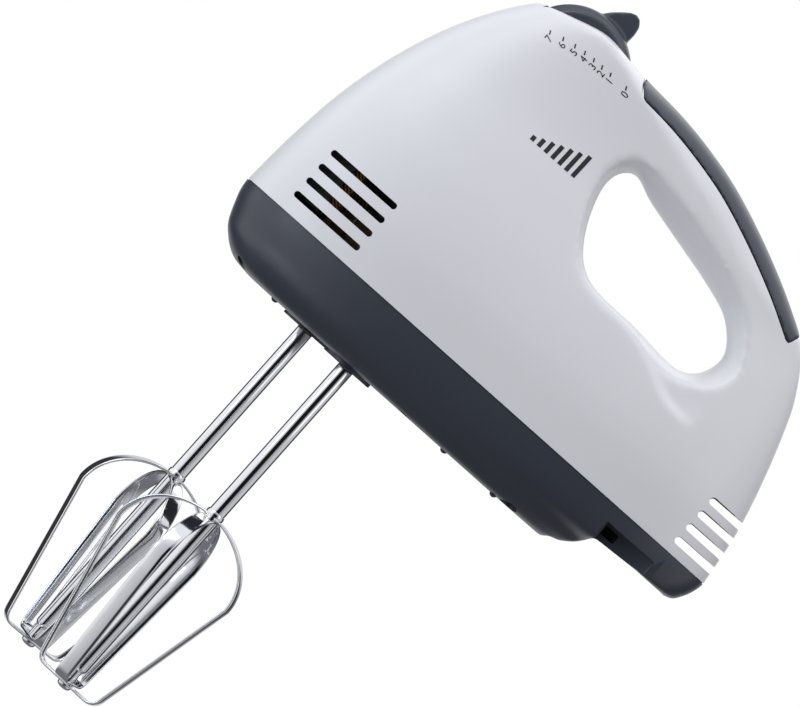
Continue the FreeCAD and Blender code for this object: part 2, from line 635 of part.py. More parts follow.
# ------------------------------------------------------------------ beaters
def loop_outline(inset):
    """A beater loop in the side view: arched shoulders, straight taper, round foot corners."""
    wide, shoulder = size("head_radius") - inset, -size("head_shoulder")
    foot, low = size("head_foot") - inset * 0.95, -size("head_length") + inset
    corner = size("foot_corner") - inset
    arch = Part.ArcOfEllipse(Part.Ellipse(Vector(0, shoulder, 0), wide, -shoulder - inset), 0, math.pi)
    slope = Vector(foot - wide, low - shoulder, 0).normalize()
    outline = [arch]
    feet = []
    for way in (1, -1):
        tip = Vector(way * foot, low, 0)
        start = tip - Vector(way * slope.x, slope.y, 0) * corner
        end = tip - Vector(way * corner, 0, 0)
        middle = (start + end) / 2 + (tip - (start + end) / 2) * 0.42
        outline += [Part.LineSegment(Vector(way * wide, shoulder, 0), start), Part.Arc(start, middle, end)]
        feet.append(end)
    return outline + [Part.LineSegment(*feet)]


def beater_loop(name, squeeze, angle, at):
    """A bent strip: the ring between an outer and an inner outline, as wide as the strip."""
    body, planes = new_body(name)
    outlines = loop_outline(squeeze) + loop_outline(squeeze + size("strip_thickness"))
    sketch = new_sketch(body, planes["XZ_Plane"], name + "_outline", outlines)
    pad = body.newObject("PartDesign::Pad", name + "_strip")
    pad.Profile = sketch
    pad.Midplane = True
    pad.setExpression("Length", "sizes.strip_width")
    doc.recompute()
    hole = new_sketch(body, planes["XY_Plane"], name + "_hole",
                      [Part.Circle(Vector(), Vector(0, 0, 1), size("beater_radius"))],
                      [("Radius", 0, "beater_radius")])
    hole.AttachmentOffset = Placement(Vector(0, 0, -30), Rotation())
    cut = body.newObject("PartDesign::Pocket", name + "_cut")
    cut.Profile = hole
    cut.Length = 60
    cut.Reversed = True
    body.Tip = cut
    body.Placement = Placement(Vector(*at, -size("hub_drop")), Rotation(Vector(0, 0, 1), angle))
    return body


def beater(word, sign, angle):
    """Shank, two crossed loops and the bottom rivet of one beater."""
    at = (sign * size("socket_offset_x"), -sign * size("socket_offset_y"))
    tip = -size("hub_drop") - size("head_length")
    top, radius = size("beater_top"), size("beater_radius")
    collar = -size("hub_drop")
    thick = size("strip_thickness")
    shank = turned(f"Shank_{word}", [(0, tip + thick * 2 + 0.1), (radius - 0.9, tip + thick * 2 + 0.1),
                                     (radius - 0.9, tip + 6), (radius, tip + 7), (radius, top - 1.2),
                                     (radius - 1.2, top), (0, top)])
    shank.Placement = Placement(Vector(*at, 0), Rotation())
    keep(shank, f"beater_shank_{word}")
    keep(beater_loop(f"LoopOuter_{word}", 0, angle, at), f"beater_outer_loop_{word}")
    keep(beater_loop(f"LoopInner_{word}", thick + 0.02, angle + 90, at), f"beater_inner_loop_{word}")
    ferrule = ring(f"Ferrule_{word}", 3.9, radius, 1.6, (*at, collar + 0.02))
    keep(ferrule, f"beater_ferrule_{word}")
    rivet = turned(f"Rivet_{word}", [(0, tip - 1.6), (2.0, tip - 1.4), (2.6, tip - 0.6), (2.6, tip - 0.02),
                                     (0, tip - 0.02)])
    rivet.Placement = Placement(Vector(*at, 0), Rotation())
    keep(rivet, f"beater_rivet_{word}")


beater("near", 1, size("near_angle"))
beater("far", -1, size("far_angle"))


# ------------------------------------------------------------------ speed dial and eject slide
def dial_wheel():
    """The crowned wheel with its thumb fin; off is with the fin at the rear."""
    half, reach, rim = size("dial_width") / 2, size("dial_radius"), size("dial_rim_radius")
    disc = turned("DialWheel", [(size("pin_radius") + 0.05, -half), (rim - 0.8, -half), (rim, -half + 0.8),
                                (reach - 0.7, -half * 0.55), (reach, -half * 0.25), (reach, half * 0.25),
                                (reach - 0.7, half * 0.55), (rim, half - 0.8), (rim - 0.8, half),
                                (size("pin_radius") + 0.05, half)])
    disc.Placement = Placement(DIAL, Rotation(Vector(1, 0, 0), 90))
    doc.recompute()
    crest = [(-5.6, 136), (-5.3, 138.8), (-0.8, 143.4), (1.5, 145.5), (3.6, 146.2), (6, 145), (7.1, 141),
             (6.8, 136.2)]
    curve = Part.BSplineCurve()
    curve.interpolate(side(crest))
    outline = [curve, Part.LineSegment(curve.EndPoint, Vector(0, 0, 132)),
               Part.LineSegment(Vector(0, 0, 132), curve.StartPoint)]
    fin = prism(outline, -size("fin_width") / 2, size("fin_width") / 2)
    fin = fin.makeFillet(1.5, [e for e in fin.Edges if e.Length > 18])
    whole = disc.Shape.fuse(fin).removeSplitter()
    return keep(shaped("SpeedDial", whole), "speed_dial")


dial_wheel()
keep(rod("DialPin", "pin_radius", 28, ("dial_at", -14, "dial_height"), "y"), "dial_pin")
yoke = joined([box((DIAL.x - 7, -13, DIAL.z - 26), (DIAL.x + 7, -10.8, DIAL.z + 5)),
               box((DIAL.x - 7, 10.8, DIAL.z - 26), (DIAL.x + 7, 13, DIAL.z + 5)),
               box((DIAL.x - 7, -13, DIAL.z - 26), (DIAL.x + 7, 13, DIAL.z - 22.5)),
               bar(3.5, (DIAL.x, 0, 61), (DIAL.x, 0, DIAL.z - 24)),
               box((-14, -22, 58.5), (14, 22, 61.5))]
             + [bar(2, (x, y, 52.6), (x, y, 60)) for x, y in SOCKETS])
yoke = yoke.cut(bar(size("pin_radius"), (DIAL.x, -20, DIAL.z), (DIAL.x, 20, DIAL.z)))
keep(shaped("EjectYoke", yoke), "eject_yoke")
guide = box((-12, -28.4, 71), (8, 28.4, 74)).cut(bar(3.6, (DIAL.x, 0, 60), (DIAL.x, 0, 90)))
keep(shaped("SlideGuide", guide), "slide_guide")
coil_path = Part.makeHelix(3.0, DIAL.z - 26 - 74 - 1.6, 5.2)
coil_wire = Part.Wire([Part.Circle(Vector(5.2, 0, 0), Vector(0, 1, 0), 0.6).toShape()])
coil = Part.Wire(coil_path.Edges).makePipeShell([coil_wire], True, True)
coil.translate(Vector(DIAL.x, 0, 74.8))
keep(shaped("EjectSpring", coil), "eject_spring")

# ------------------------------------------------------------------ speed switch and mains entry
slot_for_pin = bar(4.2, (DIAL.x, 10, DIAL.z - 8), (DIAL.x, 20, DIAL.z - 8))
board = box((-20, 14.2, 84), (16, 15.8, 112)).cut(slot_for_pin)
keep(shaped("SwitchBoard", board), "speed_switch_board")
pads = [box((x, 13.6, 90), (x + 2, 14.2, 96)) for x in (DIAL.x - 12 + 3.4 * step for step in range(7))]
keep(shaped("SwitchContacts", Part.makeCompound(pads)), "speed_switch_contacts")
keep(block("TerminalBlock", (22, 10, 8), (76, -5, 30)), "terminal_block")
clamp = joined([box((97, -27, 13.9), (103, -13, 16.1)).cut(bar(1.5, (100, -15.5, 5), (100, -15.5, 30)))])
keep(shaped("CordClamp", clamp), "cord_clamp")

# ------------------------------------------------------------------ check and write
doc.recompute()
os.makedirs("parts", exist_ok=True)
for thing in doc.Objects:
    if "Invalid" in thing.State or "Error" in thing.State:
        raise RuntimeError(f"{thing.Name} failed: {thing.State}")
bad = [thing.Label for thing in NODES
       if thing.Shape.isNull() or not thing.Shape.isValid() or not thing.Shape.Solids]
if bad:
    raise RuntimeError("no sound solid: " + ", ".join(bad))
for thing in NODES:
    shape = thing.Shape
    shape.exportStep(f"parts/{thing.Label}.step")
    written = Part.Shape()
    written.read(f"parts/{thing.Label}.step")
    if len(written.Solids) != len(shape.Solids):
        raise RuntimeError(f"{thing.Label} loses a solid in its file")
    print(f"{thing.Label}: {len(shape.Solids)} solid(s), {shape.Volume:.0f} mm3")
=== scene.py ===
"""Hand mixer: moulded housing, speed dial, printed marks and bright beaters, built round the fixed frame."""
import json
import math

import bmesh
import bpy
from bpy.props import FloatProperty, FloatVectorProperty, IntProperty, PointerProperty
from mathutils import Matrix, Vector
from mathutils.bvhtree import BVHTree


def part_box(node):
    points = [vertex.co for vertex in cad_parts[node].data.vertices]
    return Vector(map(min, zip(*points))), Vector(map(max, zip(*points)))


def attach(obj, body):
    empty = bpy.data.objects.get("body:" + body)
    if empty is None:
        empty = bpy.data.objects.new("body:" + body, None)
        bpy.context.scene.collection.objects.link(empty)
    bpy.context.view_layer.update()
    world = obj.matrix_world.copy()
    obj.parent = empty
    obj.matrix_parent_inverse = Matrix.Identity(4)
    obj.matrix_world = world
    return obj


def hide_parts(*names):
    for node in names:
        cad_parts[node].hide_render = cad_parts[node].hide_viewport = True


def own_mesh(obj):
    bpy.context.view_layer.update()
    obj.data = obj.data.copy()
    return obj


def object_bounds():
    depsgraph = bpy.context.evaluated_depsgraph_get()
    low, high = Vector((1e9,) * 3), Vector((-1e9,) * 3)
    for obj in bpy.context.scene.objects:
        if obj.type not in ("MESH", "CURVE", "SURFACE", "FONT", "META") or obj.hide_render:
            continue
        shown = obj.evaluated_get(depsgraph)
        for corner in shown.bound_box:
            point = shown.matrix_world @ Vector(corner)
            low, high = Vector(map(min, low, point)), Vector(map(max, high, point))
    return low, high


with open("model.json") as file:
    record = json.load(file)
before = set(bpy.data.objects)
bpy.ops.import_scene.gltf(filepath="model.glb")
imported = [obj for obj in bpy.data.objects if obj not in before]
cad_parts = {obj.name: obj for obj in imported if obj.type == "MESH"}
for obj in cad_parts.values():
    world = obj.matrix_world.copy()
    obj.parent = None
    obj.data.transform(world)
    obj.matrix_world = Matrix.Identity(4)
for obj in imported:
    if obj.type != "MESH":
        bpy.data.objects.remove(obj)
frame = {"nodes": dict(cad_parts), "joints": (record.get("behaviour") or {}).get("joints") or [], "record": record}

bl_info = {
    "name": "Hand mixer",
    "version": (1, 0, 0),
    "blender": (4, 5, 0),
    "location": "View3D > Sidebar > Mixer",
    "description": "Builds a seven-speed hand mixer piece by piece round its packed frame",
    "category": "Object",
}

CAD_BOX = [list(corner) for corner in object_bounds()]
MM = 0.001
JOINTS = {joint["name"]: joint for joint in frame["joints"]}


def joint_at(name):
    """Where a joint turns, in millimetres."""
    return Vector(JOINTS[name]["pos_m"]) / MM


DIAL = joint_at("dial_turn")
NEAR, FAR = joint_at("gear_near_spin"), joint_at("gear_far_spin")
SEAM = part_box("shell_left")[0][2] / MM
SEAM_LIFT = 0.5

# Level curves of the white housing (mm): height, front end, rear end, half width, drawing-in to the rear
STATIONS = (
    (23.0, -55.2, 141.2, 41.0, 0.08), (43.0, -53.9, 138.3, 40.4, 0.12), (63.0, -51.4, 132.9, 37.6, 0.20),
    (82.0, -46.9, 126.2, 33.0, 0.30), (98.0, -41.2, 119.0, 28.4, 0.40), (110.0, -35.4, 112.5, 25.4, 0.42),
    (120.0, -29.2, 105.0, 23.4, 0.42), (128.0, -22.9, 97.0, 22.0, 0.42), (138.0, -14.0, 86.0, 20.4, 0.42),
)
OUTLINE_POWER = 2.8
# Line over the dial cheeks and down the grip (mm): x, height, half width there, fall at the edges
TOP_LINE = (
    (-44, 118, 24, 4), (-23, 127.9, 20, 4), (-12, 131.4, 22, 4), (1, 134.6, 23, 4), (10, 133.8, 23, 5),
    (19.2, 132.3, 22, 7), (35.4, 131.1, 20, 10), (48, 129.2, 18.5, 11), (63, 125.6, 17.5, 11),
    (78.5, 119.9, 16.5, 11), (93.8, 113, 16, 11), (105, 107, 16, 10), (112.5, 102.2, 16.5, 9),
    (120, 93.4, 18, 9), (127, 80.5, 20, 9), (134, 62, 24, 9), (140, 40, 26, 9), (144, 20, 28, 9),
)
# Finger opening (mm): x, height, local half width, rounding of its edge
GRIP_HOLE = (
    (31.6, 99, 25, 1.2), (36.5, 107.2, 22, 4), (47, 103.8, 20, 8), (63, 99.8, 19, 9), (78, 96, 18.5, 9),
    (90, 91.2, 19, 9), (97.6, 81, 22, 9), (91, 69.6, 27, 4), (70, 70.2, 31, 2.2), (49.5, 71.6, 33, 1.6),
    (38, 81.5, 31, 0.8),
)
STRIP_SIDE = 5.5
DIAL_WELL_RADIUS = 20.35
HALF_SECTIONS = (4, 8, 12, 15, 18, 21, 24, 27, 31, 35, 41, 50)
HOLE_SECTIONS = (*(-y for y in reversed(HALF_SECTIONS)), 0, *HALF_SECTIONS)


# ------------------------------------------------------------------ shader shorthand
class Value:
    """A shader socket that adds Math nodes when it is used in an expression."""

    def __init__(self, tree, socket):
        self.tree, self.socket = tree, socket

    def maths(self, operation, first, second=None, clamp=False):
        node = self.tree.nodes.new("ShaderNodeMath")
        node.operation, node.use_clamp = operation, clamp
        for socket, item in zip(node.inputs, (first, second)):
            if isinstance(item, Value):
                self.tree.links.new(item.socket, socket)
            elif item is not None:
                socket.default_value = item
        return Value(self.tree, node.outputs[0])

    def __add__(self, other):
        return self.maths("ADD", self, other)

    def __mul__(self, other):
        return self.maths("MULTIPLY", self, other)

    def __sub__(self, other):
        return self.maths("SUBTRACT", self, other)

    def __rsub__(self, other):
        return self.maths("SUBTRACT", other, self)

    __radd__, __rmul__ = __add__, __mul__

    def clamped(self):
        return self.maths("ADD", self, 0.0, clamp=True)


class Finish:
    """One material and its nodes."""

    def __init__(self, name, **settings):
        self.material = bpy.data.materials.new(name)
        self.material.use_nodes = True
        self.tree = self.material.node_tree
        self.shader = self.tree.nodes["Principled BSDF"]
        for socket, value in settings.items():
            self.shader.inputs[socket.replace("_", " ")].default_value = value
        self.place = self.node("ShaderNodeTexCoord", {}, {}, "Object")

    def node(self, kind, settings, inputs, output=0):
        """Adds a node: its settings first, then values or links for its sockets."""
        node = self.tree.nodes.new(kind)
        for name, value in settings.items():
            setattr(node, name, value)
        for name, value in inputs.items():
            if isinstance(value, Value):
                self.tree.links.new(value.socket, node.inputs[name])
            else:
                node.inputs[name].default_value = value
        return Value(self.tree, node.outputs[output])

    def noise(self, scale, detail=3.0, rough=0.5, stretch=None):
        """Noise in the piece's own coordinates, drawn out along an axis when stretch is given."""
        where = self.place
        if stretch:
            where = self.node("ShaderNodeMapping", {}, {"Vector": where, "Scale": stretch})
        return self.node("ShaderNodeTexNoise", {}, {"Vector": where, "Scale": scale, "Detail": detail,
                                                    "Roughness": rough}, "Fac")

    def mix(self, factor, first, second):
        """A colour between two colours."""
        return self.node("ShaderNodeMix", {"data_type": "RGBA"},
                         {0: factor, 6: (*first, 1), 7: (*second, 1)}, 2)

    def feed(self, socket, value):
        self.tree.links.new(value.socket, self.shader.inputs[socket])

    def bump(self, height, strength, distance):
        """Fine relief on the surface."""
        self.feed("Normal", self.node("ShaderNodeBump", {}, {"Height": height, "Strength": strength,
                                                             "Distance": distance * MM}, "Normal"))


def shade_of(colour, share):
    """The same colour, lighter or darker."""
    return tuple(channel * share for channel in colour)


def moulded(name, colour, shade, rough, grain=0.02):
    """Injection-moulded plastic: faint mottling, fine grain and a soft sheen."""
    finish = Finish(name, Specular_IOR_Level=0.5, Coat_Roughness=0.2)
    cloud = finish.noise(28.0, 4.0)
    fine = finish.noise(1400.0, 2.0)
    finish.feed("Base Color", finish.mix(cloud, colour, shade))
    finish.feed("Roughness", rough - 0.05 + cloud * 0.08 + fine * 0.05)
    finish.bump(fine + finish.noise(160.0, 2.0) * 1.5, grain, 0.05)
    return finish.material


def plated(name, colour):
    """Bright plated steel: long drawing marks under the plating, and duller specks."""
    finish = Finish(name, Metallic=1.0)
    drawn = finish.noise(220.0, 3.0, 0.6, (1.0, 1.0, 0.06))
    speck = finish.noise(900.0, 2.0)
    finish.feed("Base Color", finish.mix(drawn, colour, shade_of(colour, 0.8)))
    finish.feed("Roughness", 0.045 + drawn * 0.08 + speck * 0.03)
    finish.bump(drawn, 0.05, 0.03)
    return finish.material


def metal(name, colour, rough, scale=300.0, stretch=(1.0, 1.0, 1.0)):
    """Plain worked metal."""
    finish = Finish(name, Metallic=1.0)
    worked = finish.noise(scale, 3.0, 0.6, stretch)
    finish.feed("Base Color", finish.mix(worked, colour, shade_of(colour, 0.55)))
    finish.feed("Roughness", rough + worked * 0.2)
    finish.bump(worked, 0.3, 0.06)
    return finish.material


def wound_wire(name):
    """Enamelled copper wire, laid in rows."""
    finish = Finish(name, Metallic=0.7)
    turns = finish.node("ShaderNodeTexWave", {"bands_direction": "DIAGONAL"},
                        {"Vector": finish.place, "Scale": 420.0, "Distortion": 1.5, "Detail": 2.0}, "Fac")
    finish.feed("Base Color", finish.mix(turns, (0.09, 0.03, 0.01), (0.62, 0.33, 0.10)))
    finish.feed("Roughness", 0.3 + turns * 0.15)
    finish.bump(turns, 0.8, 0.2)
    return finish.material


# ------------------------------------------------------------------ shaping helpers
def along(rows, x):
    """Reads a table whose rows start with x, smoothly between its rows."""
    if x <= rows[0][0]:
        return rows[0][1:]
    for index in range(len(rows) - 1):
        if x <= rows[index + 1][0]:
            break
    else:
        return rows[-1][1:]
    before, low = rows[max(index - 1, 0)], rows[index]
    high, after = rows[index + 1], rows[min(index + 2, len(rows) - 1)]
    share = (x - low[0]) / (high[0] - low[0])
    out = []
    for column in range(1, len(low)):
        step = high[0] - low[0]
        rise_in = (high[column] - before[column]) / max(high[0] - before[0], 1e-9) * step
        rise_out = (after[column] - low[column]) / max(after[0] - low[0], 1e-9) * step
        p, q = low[column], high[column]
        out.append((2 * share ** 3 - 3 * share ** 2 + 1) * p
                   + (share ** 3 - 2 * share ** 2 + share) * rise_in
                   + (-2 * share ** 3 + 3 * share ** 2) * q + (share ** 3 - share ** 2) * rise_out)
    return out


def ring_through(points, steps):
    """A smooth closed run through points, with a number of steps between each pair."""
    out = []
    count = len(points)
    for index in range(count):
        a, b, c, d = (Vector(points[(index + shift) % count]) for shift in (-1, 0, 1, 2))
        for step in range(steps):
            u = step / steps
            out.append(0.5 * (2 * b + (c - a) * u + (2 * a - 5 * b + 4 * c - d) * u * u
                              + (3 * b - a - 3 * c + d) * u ** 3))
    return out


def new_piece(name, bm, material=None, smooth=True):
    """Turns a bmesh, drawn in millimetres, into a finished object at the origin."""
    bmesh.ops.recalc_face_normals(bm, faces=bm.faces)
    bmesh.ops.scale(bm, vec=(MM, MM, MM), verts=bm.verts)
    mesh = bpy.data.meshes.new(name)
    bm.to_mesh(mesh)
    bm.free()
    piece = bpy.data.objects.new(name, mesh)
    bpy.context.scene.collection.objects.link(piece)
    if material:
        mesh.materials.append(material)
    if smooth:
        mesh.shade_smooth()
    return piece


def baked(piece):
    """Applies a piece's modifiers."""
    graph = bpy.context.evaluated_depsgraph_get()
    mesh = bpy.data.meshes.new_from_object(piece.evaluated_get(graph))
    old = piece.data
    piece.modifiers.clear()
    piece.data = mesh
    bpy.data.meshes.remove(old)
    return piece


def carve(piece, cutter, operation="DIFFERENCE"):
    """Cuts, joins or intersects a piece with a throwaway solid."""
    step = piece.modifiers.new("carve", "BOOLEAN")
    step.object, step.operation, step.solver = cutter, operation, "MANIFOLD"
    bpy.context.view_layer.update()
    baked(piece)
    mesh = cutter.data
    bpy.data.objects.remove(cutter)
    bpy.data.meshes.remove(mesh)
    return piece


def remeshed(piece, grain, rounds):
    """Rebuilds a piece with an even grain (mm) and relaxes it, which rounds its edges."""
    step = piece.modifiers.new("grain", "REMESH")
    step.mode, step.voxel_size, step.use_smooth_shade = "VOXEL", grain * MM, True
    relax = piece.modifiers.new("relax", "SMOOTH")
    relax.factor, relax.iterations = 0.5, rounds
    bpy.context.view_layer.update()
    return baked(piece)


def crisp(piece, angle=32):
    """Smooth shading that stops at sharp edges."""
    piece.data.shade_smooth()
    bm = bmesh.new()
    bm.from_mesh(piece.data)
    limit = math.radians(angle)
    for edge in bm.edges:
        edge.smooth = not (len(edge.link_faces) == 2 and edge.calc_face_angle(0) > limit)
    bm.to_mesh(piece.data)
    bm.free()
    return piece


def duplicate(piece, name):
    """A separate copy of a piece."""
    other = piece.copy()
    other.data = piece.data.copy()
    other.name = name
    bpy.context.scene.collection.objects.link(other)
    return other


def box_into(bm, low, high, bevel=0.0, segments=3):
    """Adds a block between two corners, with rounded edges if asked."""
    made = bmesh.ops.create_cube(bm, size=1.0)["verts"]
    size = Vector(high) - Vector(low)
    bmesh.ops.scale(bm, vec=size, verts=made)
    bmesh.ops.translate(bm, vec=Vector(low) + size / 2, verts=made)
    if bevel:
        edges = list({edge for vert in made for edge in vert.link_edges})
        bmesh.ops.bevel(bm, geom=edges, offset=bevel, affect="EDGES", segments=segments, profile=0.5,
                        material=-1)


def rod_into(bm, radius, start, end, segments=48):
    """Adds a round bar between two points."""
    start, end = Vector(start), Vector(end)
    axis = end - start
    turn = Vector((0, 0, 1)).rotation_difference(axis).to_matrix().to_4x4()
    bmesh.ops.create_cone(bm, cap_ends=True, segments=segments, radius1=radius, radius2=radius,
                          depth=axis.length, matrix=Matrix.Translation((start + end) / 2) @ turn)


def spun(bm, outline, centre=(0, 0, 0), axis=(0, 0, 1), across=(1, 0, 0), steps=64):
    """Spins a half outline of (radius, height) points about an axis into a closed solid."""
    axis, across, centre = Vector(axis), Vector(across), Vector(centre)
    verts = [bm.verts.new(centre + across * radius + axis * height) for radius, height in outline]
    edges = [bm.edges.new(pair) for pair in zip(verts, verts[1:])]
    bmesh.ops.spin(bm, geom=verts + edges, cent=centre, axis=axis, angle=math.tau, steps=steps,
                   use_merge=True)
    bmesh.ops.remove_doubles(bm, verts=bm.verts, dist=1e-4)


def loops_into(bm, loops):
    """Joins closed loops of points, one after another, and closes both ends."""
    rings = []
    for points in loops:
        made = bmesh.ops.create_circle(bm, segments=len(points), radius=1.0)["verts"]
        for vert, point in zip(made, points):
            vert.co = point
        rings.append(list({edge for vert in made for edge in vert.link_edges}))
    for first, second in zip(rings, rings[1:]):
        bmesh.ops.bridge_loops(bm, edges=first + second)
    bmesh.ops.holes_fill(bm, edges=rings[0] + rings[-1], sides=0)


# ------------------------------------------------------------------ housing forms
def level_curve(height, front, rear, half, drawing_in, inset=0.0, count=120):
    """One level curve of the housing: blunt nose, long sides that draw in towards the rear."""
    front, rear, half = front + inset, rear - inset, half - inset
    middle, reach = (front + rear) / 2, (rear - front) / 2
    power = 2 / OUTLINE_POWER
    points = []
    for step in range(count):
        angle = math.tau * (step + 0.5) / count
        c, s = math.cos(angle), math.sin(angle)
        x = -math.copysign(abs(c) ** power, c)
        y = math.copysign(abs(s) ** power, s) * half * (1 - drawing_in * (x + 1) / 2)
        points.append(Vector((middle + reach * x, y, height)))
    return points


def housing_block():
    """The white housing as a full block."""
    bm = bmesh.new()
    levels = [SEAM - 4 + step * (142 - SEAM) / 48 for step in range(49)]
    loops = []
    for height in levels:
        front, rear, half, drawing_in = along(STATIONS, max(height, SEAM))
        loops.append(level_curve(height, front, rear, half, drawing_in))
    loops_into(bm, loops)
    return new_piece("block", bm)


def above_top():
    """Everything above the crowned line of the cheeks and the grip."""
    bm = bmesh.new()
    columns, rows = 110, 30
    bmesh.ops.create_grid(bm, x_segments=columns, y_segments=rows, size=1.0)
    start, end = TOP_LINE[0][0] - 16, TOP_LINE[-1][0] + 6
    for vert in bm.verts:
        x = start + (end - start) * (vert.co.x + 1) / 2
        height, half, fall = along(TOP_LINE, x)
        share = vert.co.y * 2.2
        vert.co = (x, share * half, height - fall * min(abs(share), 1.7) ** 3)
    lifted = bmesh.ops.extrude_face_region(bm, geom=bm.faces[:])["geom"]
    for vert in (item for item in lifted if isinstance(item, bmesh.types.BMVert)):
        vert.co.z = 200
    return new_piece("above_top", bm)


def grip_opening():
    """The finger opening, its edges rounded outwards as they near the sides."""
    bm = bmesh.new()
    count = len(GRIP_HOLE)
    loops = []
    for y in HOLE_SECTIONS:
        points = []
        for index, (x, z, half, rounding) in enumerate(GRIP_HOLE):
            before, after = GRIP_HOLE[index - 1], GRIP_HOLE[(index + 1) % count]
            run = Vector((after[0] - before[0], 0, after[1] - before[1])).normalized()
            outward = Vector((-run.z, 0, run.x))
            reach = min(abs(y) / half, 1.35)
            points.append(Vector((x, y, z)) + outward * rounding * reach ** 3)
        loops.append(ring_through(points, 8))
    loops_into(bm, loops)
    return new_piece("grip_opening", bm)


def strip_zone(gap):
    """The band that the dark strip fills, as a block."""
    bm = bmesh.new()
    upper, lower = [], []
    start, end = 19.2 - gap, 111.6 + gap
    count = 60
    for step in range(count + 1):
        x = start + (end - start) * step / count
        height = along(TOP_LINE, x)[0]
        edge = min((x - start) / 6.5, 1.0)
        tail = min((end - x) / 3.0, 1.0)
        rise, fall = math.sin(edge * math.pi / 2) ** 0.8, math.sqrt(max(tail * (2 - tail), 0))
        drop = (STRIP_SIDE + gap) * min(rise, fall)
        lower.append(Vector((x, -60, height - drop)))
        upper.append(Vector((x, -60, height + 30)))
    outline = [bm.verts.new(point) for point in lower + upper[::-1]]
    face = bm.faces.new(outline)
    lifted = bmesh.ops.extrude_face_region(bm, geom=[face])["geom"]
    bmesh.ops.translate(bm, vec=(0, 120, 0), verts=[v for v in lifted if isinstance(v, bmesh.types.BMVert)])
    bmesh.ops.triangulate(bm, faces=[f for f in bm.faces if len(f.verts) > 4])
    return new_piece("strip_zone", bm)


def dial_well():
    """The well that the dial turns in and is pressed down into."""
    bm = bmesh.new()
    for half, drop in ((10.3, 0.0), (10.28, 4.5)):
        height = DIAL.z - drop
        rod_into(bm, DIAL_WELL_RADIUS, (DIAL.x, -half, height), (DIAL.x, half, height), 96)
    return new_piece("dial_well", bm)


# ------------------------------------------------------------------ base forms
BASE_OUTLINE = (
    (0.0, -34.0, 92.0, 30.0), (0.9, -40.5, 97.0, 33.6), (2.8, -44.6, 101.0, 36.3), (5.1, -47.5, 106.0, 38.2),
    (8.3, -50.5, 112.0, 39.6), (12.0, -52.3, 134.5, 40.4), (15.0, -53.4, 138.2, 40.8),
    (18.5, -54.6, 140.1, 41.0), (22.4, -55.2, 141.1, 41.0), (30.0, -55.3, 141.15, 41.0),
)
STEP = ((90.5, -8), (92.6, 1.4), (97.5, 3.0), (101, 5.6), (103.2, 8.3), (104.9, 11.2), (115, 11.8),
        (122, 12.2), (132.5, 12.1), (146, 11.2), (160, -8))
COLLAR_RADIUS, SLEEVE_HOLE_RADIUS, SCREW_WELL_RADIUS, STUD_RADIUS = 9.5, 6.4, 3.3, 1.45


def base_block(inset=0.0):
    """The grey tub as a full block, its keel as wide as the seam."""
    bm = bmesh.new()
    loops = []
    for step in range(33):
        height = 30 * (step / 32) ** 1.5
        front, rear, half = along(BASE_OUTLINE, height)
        loops.append(level_curve(height + inset * 0.8, front, rear, half, 0.08, inset))
    loops_into(bm, loops)
    return new_piece("tub", bm)


def side_prism(name, outline, low_y, high_y):
    """A block with a side-view outline."""
    bm = bmesh.new()
    face = bm.faces.new([bm.verts.new((x, low_y, z)) for x, z in outline])
    lifted = bmesh.ops.extrude_face_region(bm, geom=[face])["geom"]
    bmesh.ops.translate(bm, vec=(0, high_y - low_y, 0),
                        verts=[item for item in lifted if isinstance(item, bmesh.types.BMVert)])
    bmesh.ops.triangulate(bm, faces=[face for face in bm.faces if len(face.verts) > 4])
    return new_piece(name, bm)


def boxes(name, corners, bevel=0.0):
    """Several blocks as one throwaway solid."""
    bm = bmesh.new()
    for low, high in corners:
        box_into(bm, low, high, bevel)
    return new_piece(name, bm)


def rods(name, bars, segments=48):
    """Several round bars as one throwaway solid."""
    bm = bmesh.new()
    for radius, start, end in bars:
        rod_into(bm, radius, start, end, segments)
    return new_piece(name, bm)


# ------------------------------------------------------------------ what a user would change
class MixerSizes(bpy.types.PropertyGroup):
    """Wall, gap and edge sizes of the pieces made here."""

    shell_grain: FloatProperty(name="Shell grain", description="Spacing of the shell's surface mesh",
                               default=0.00115, unit="LENGTH")
    shell_rounds: IntProperty(name="Shell softening", description="Passes that round the shell's edges",
                              default=9)
    base_grain: FloatProperty(name="Base grain", description="Spacing of the base's surface mesh",
                              default=0.001, unit="LENGTH")
    wall: FloatProperty(name="Wall", description="Thickness of the moulded walls", default=0.0026,
                        unit="LENGTH")
    seam_gap: FloatProperty(name="Seam gap",
                            description="Shadow gap between the white shell and the grey base",
                            default=0.00045, unit="LENGTH")
    strip_gap: FloatProperty(name="Strip groove", description="Groove round the dark grip strip",
                             default=0.0003, unit="LENGTH")
    strip_proud: FloatProperty(name="Strip height", description="How far the grip strip stands proud",
                               default=0.0002, unit="LENGTH")
    mark_height: FloatProperty(name="Numeral height", description="Height of the printed numerals",
                               default=0.0027, unit="LENGTH")
    ink_lift: FloatProperty(name="Ink thickness", description="Thickness of the printed marks",
                            default=0.00006, unit="LENGTH")


class MixerColours(bpy.types.PropertyGroup):
    """Colours of the moulded and printed finishes."""

    white: FloatVectorProperty(name="White plastic", description="Shell colour", subtype="COLOR",
                               default=(0.86, 0.86, 0.885))
    slate: FloatVectorProperty(name="Slate plastic", description="Base, strip and dial colour",
                               subtype="COLOR", default=(0.049, 0.057, 0.077))
    chrome: FloatVectorProperty(name="Chrome", description="Plated beaters", subtype="COLOR",
                                default=(0.83, 0.84, 0.86))


FINISHES = {}


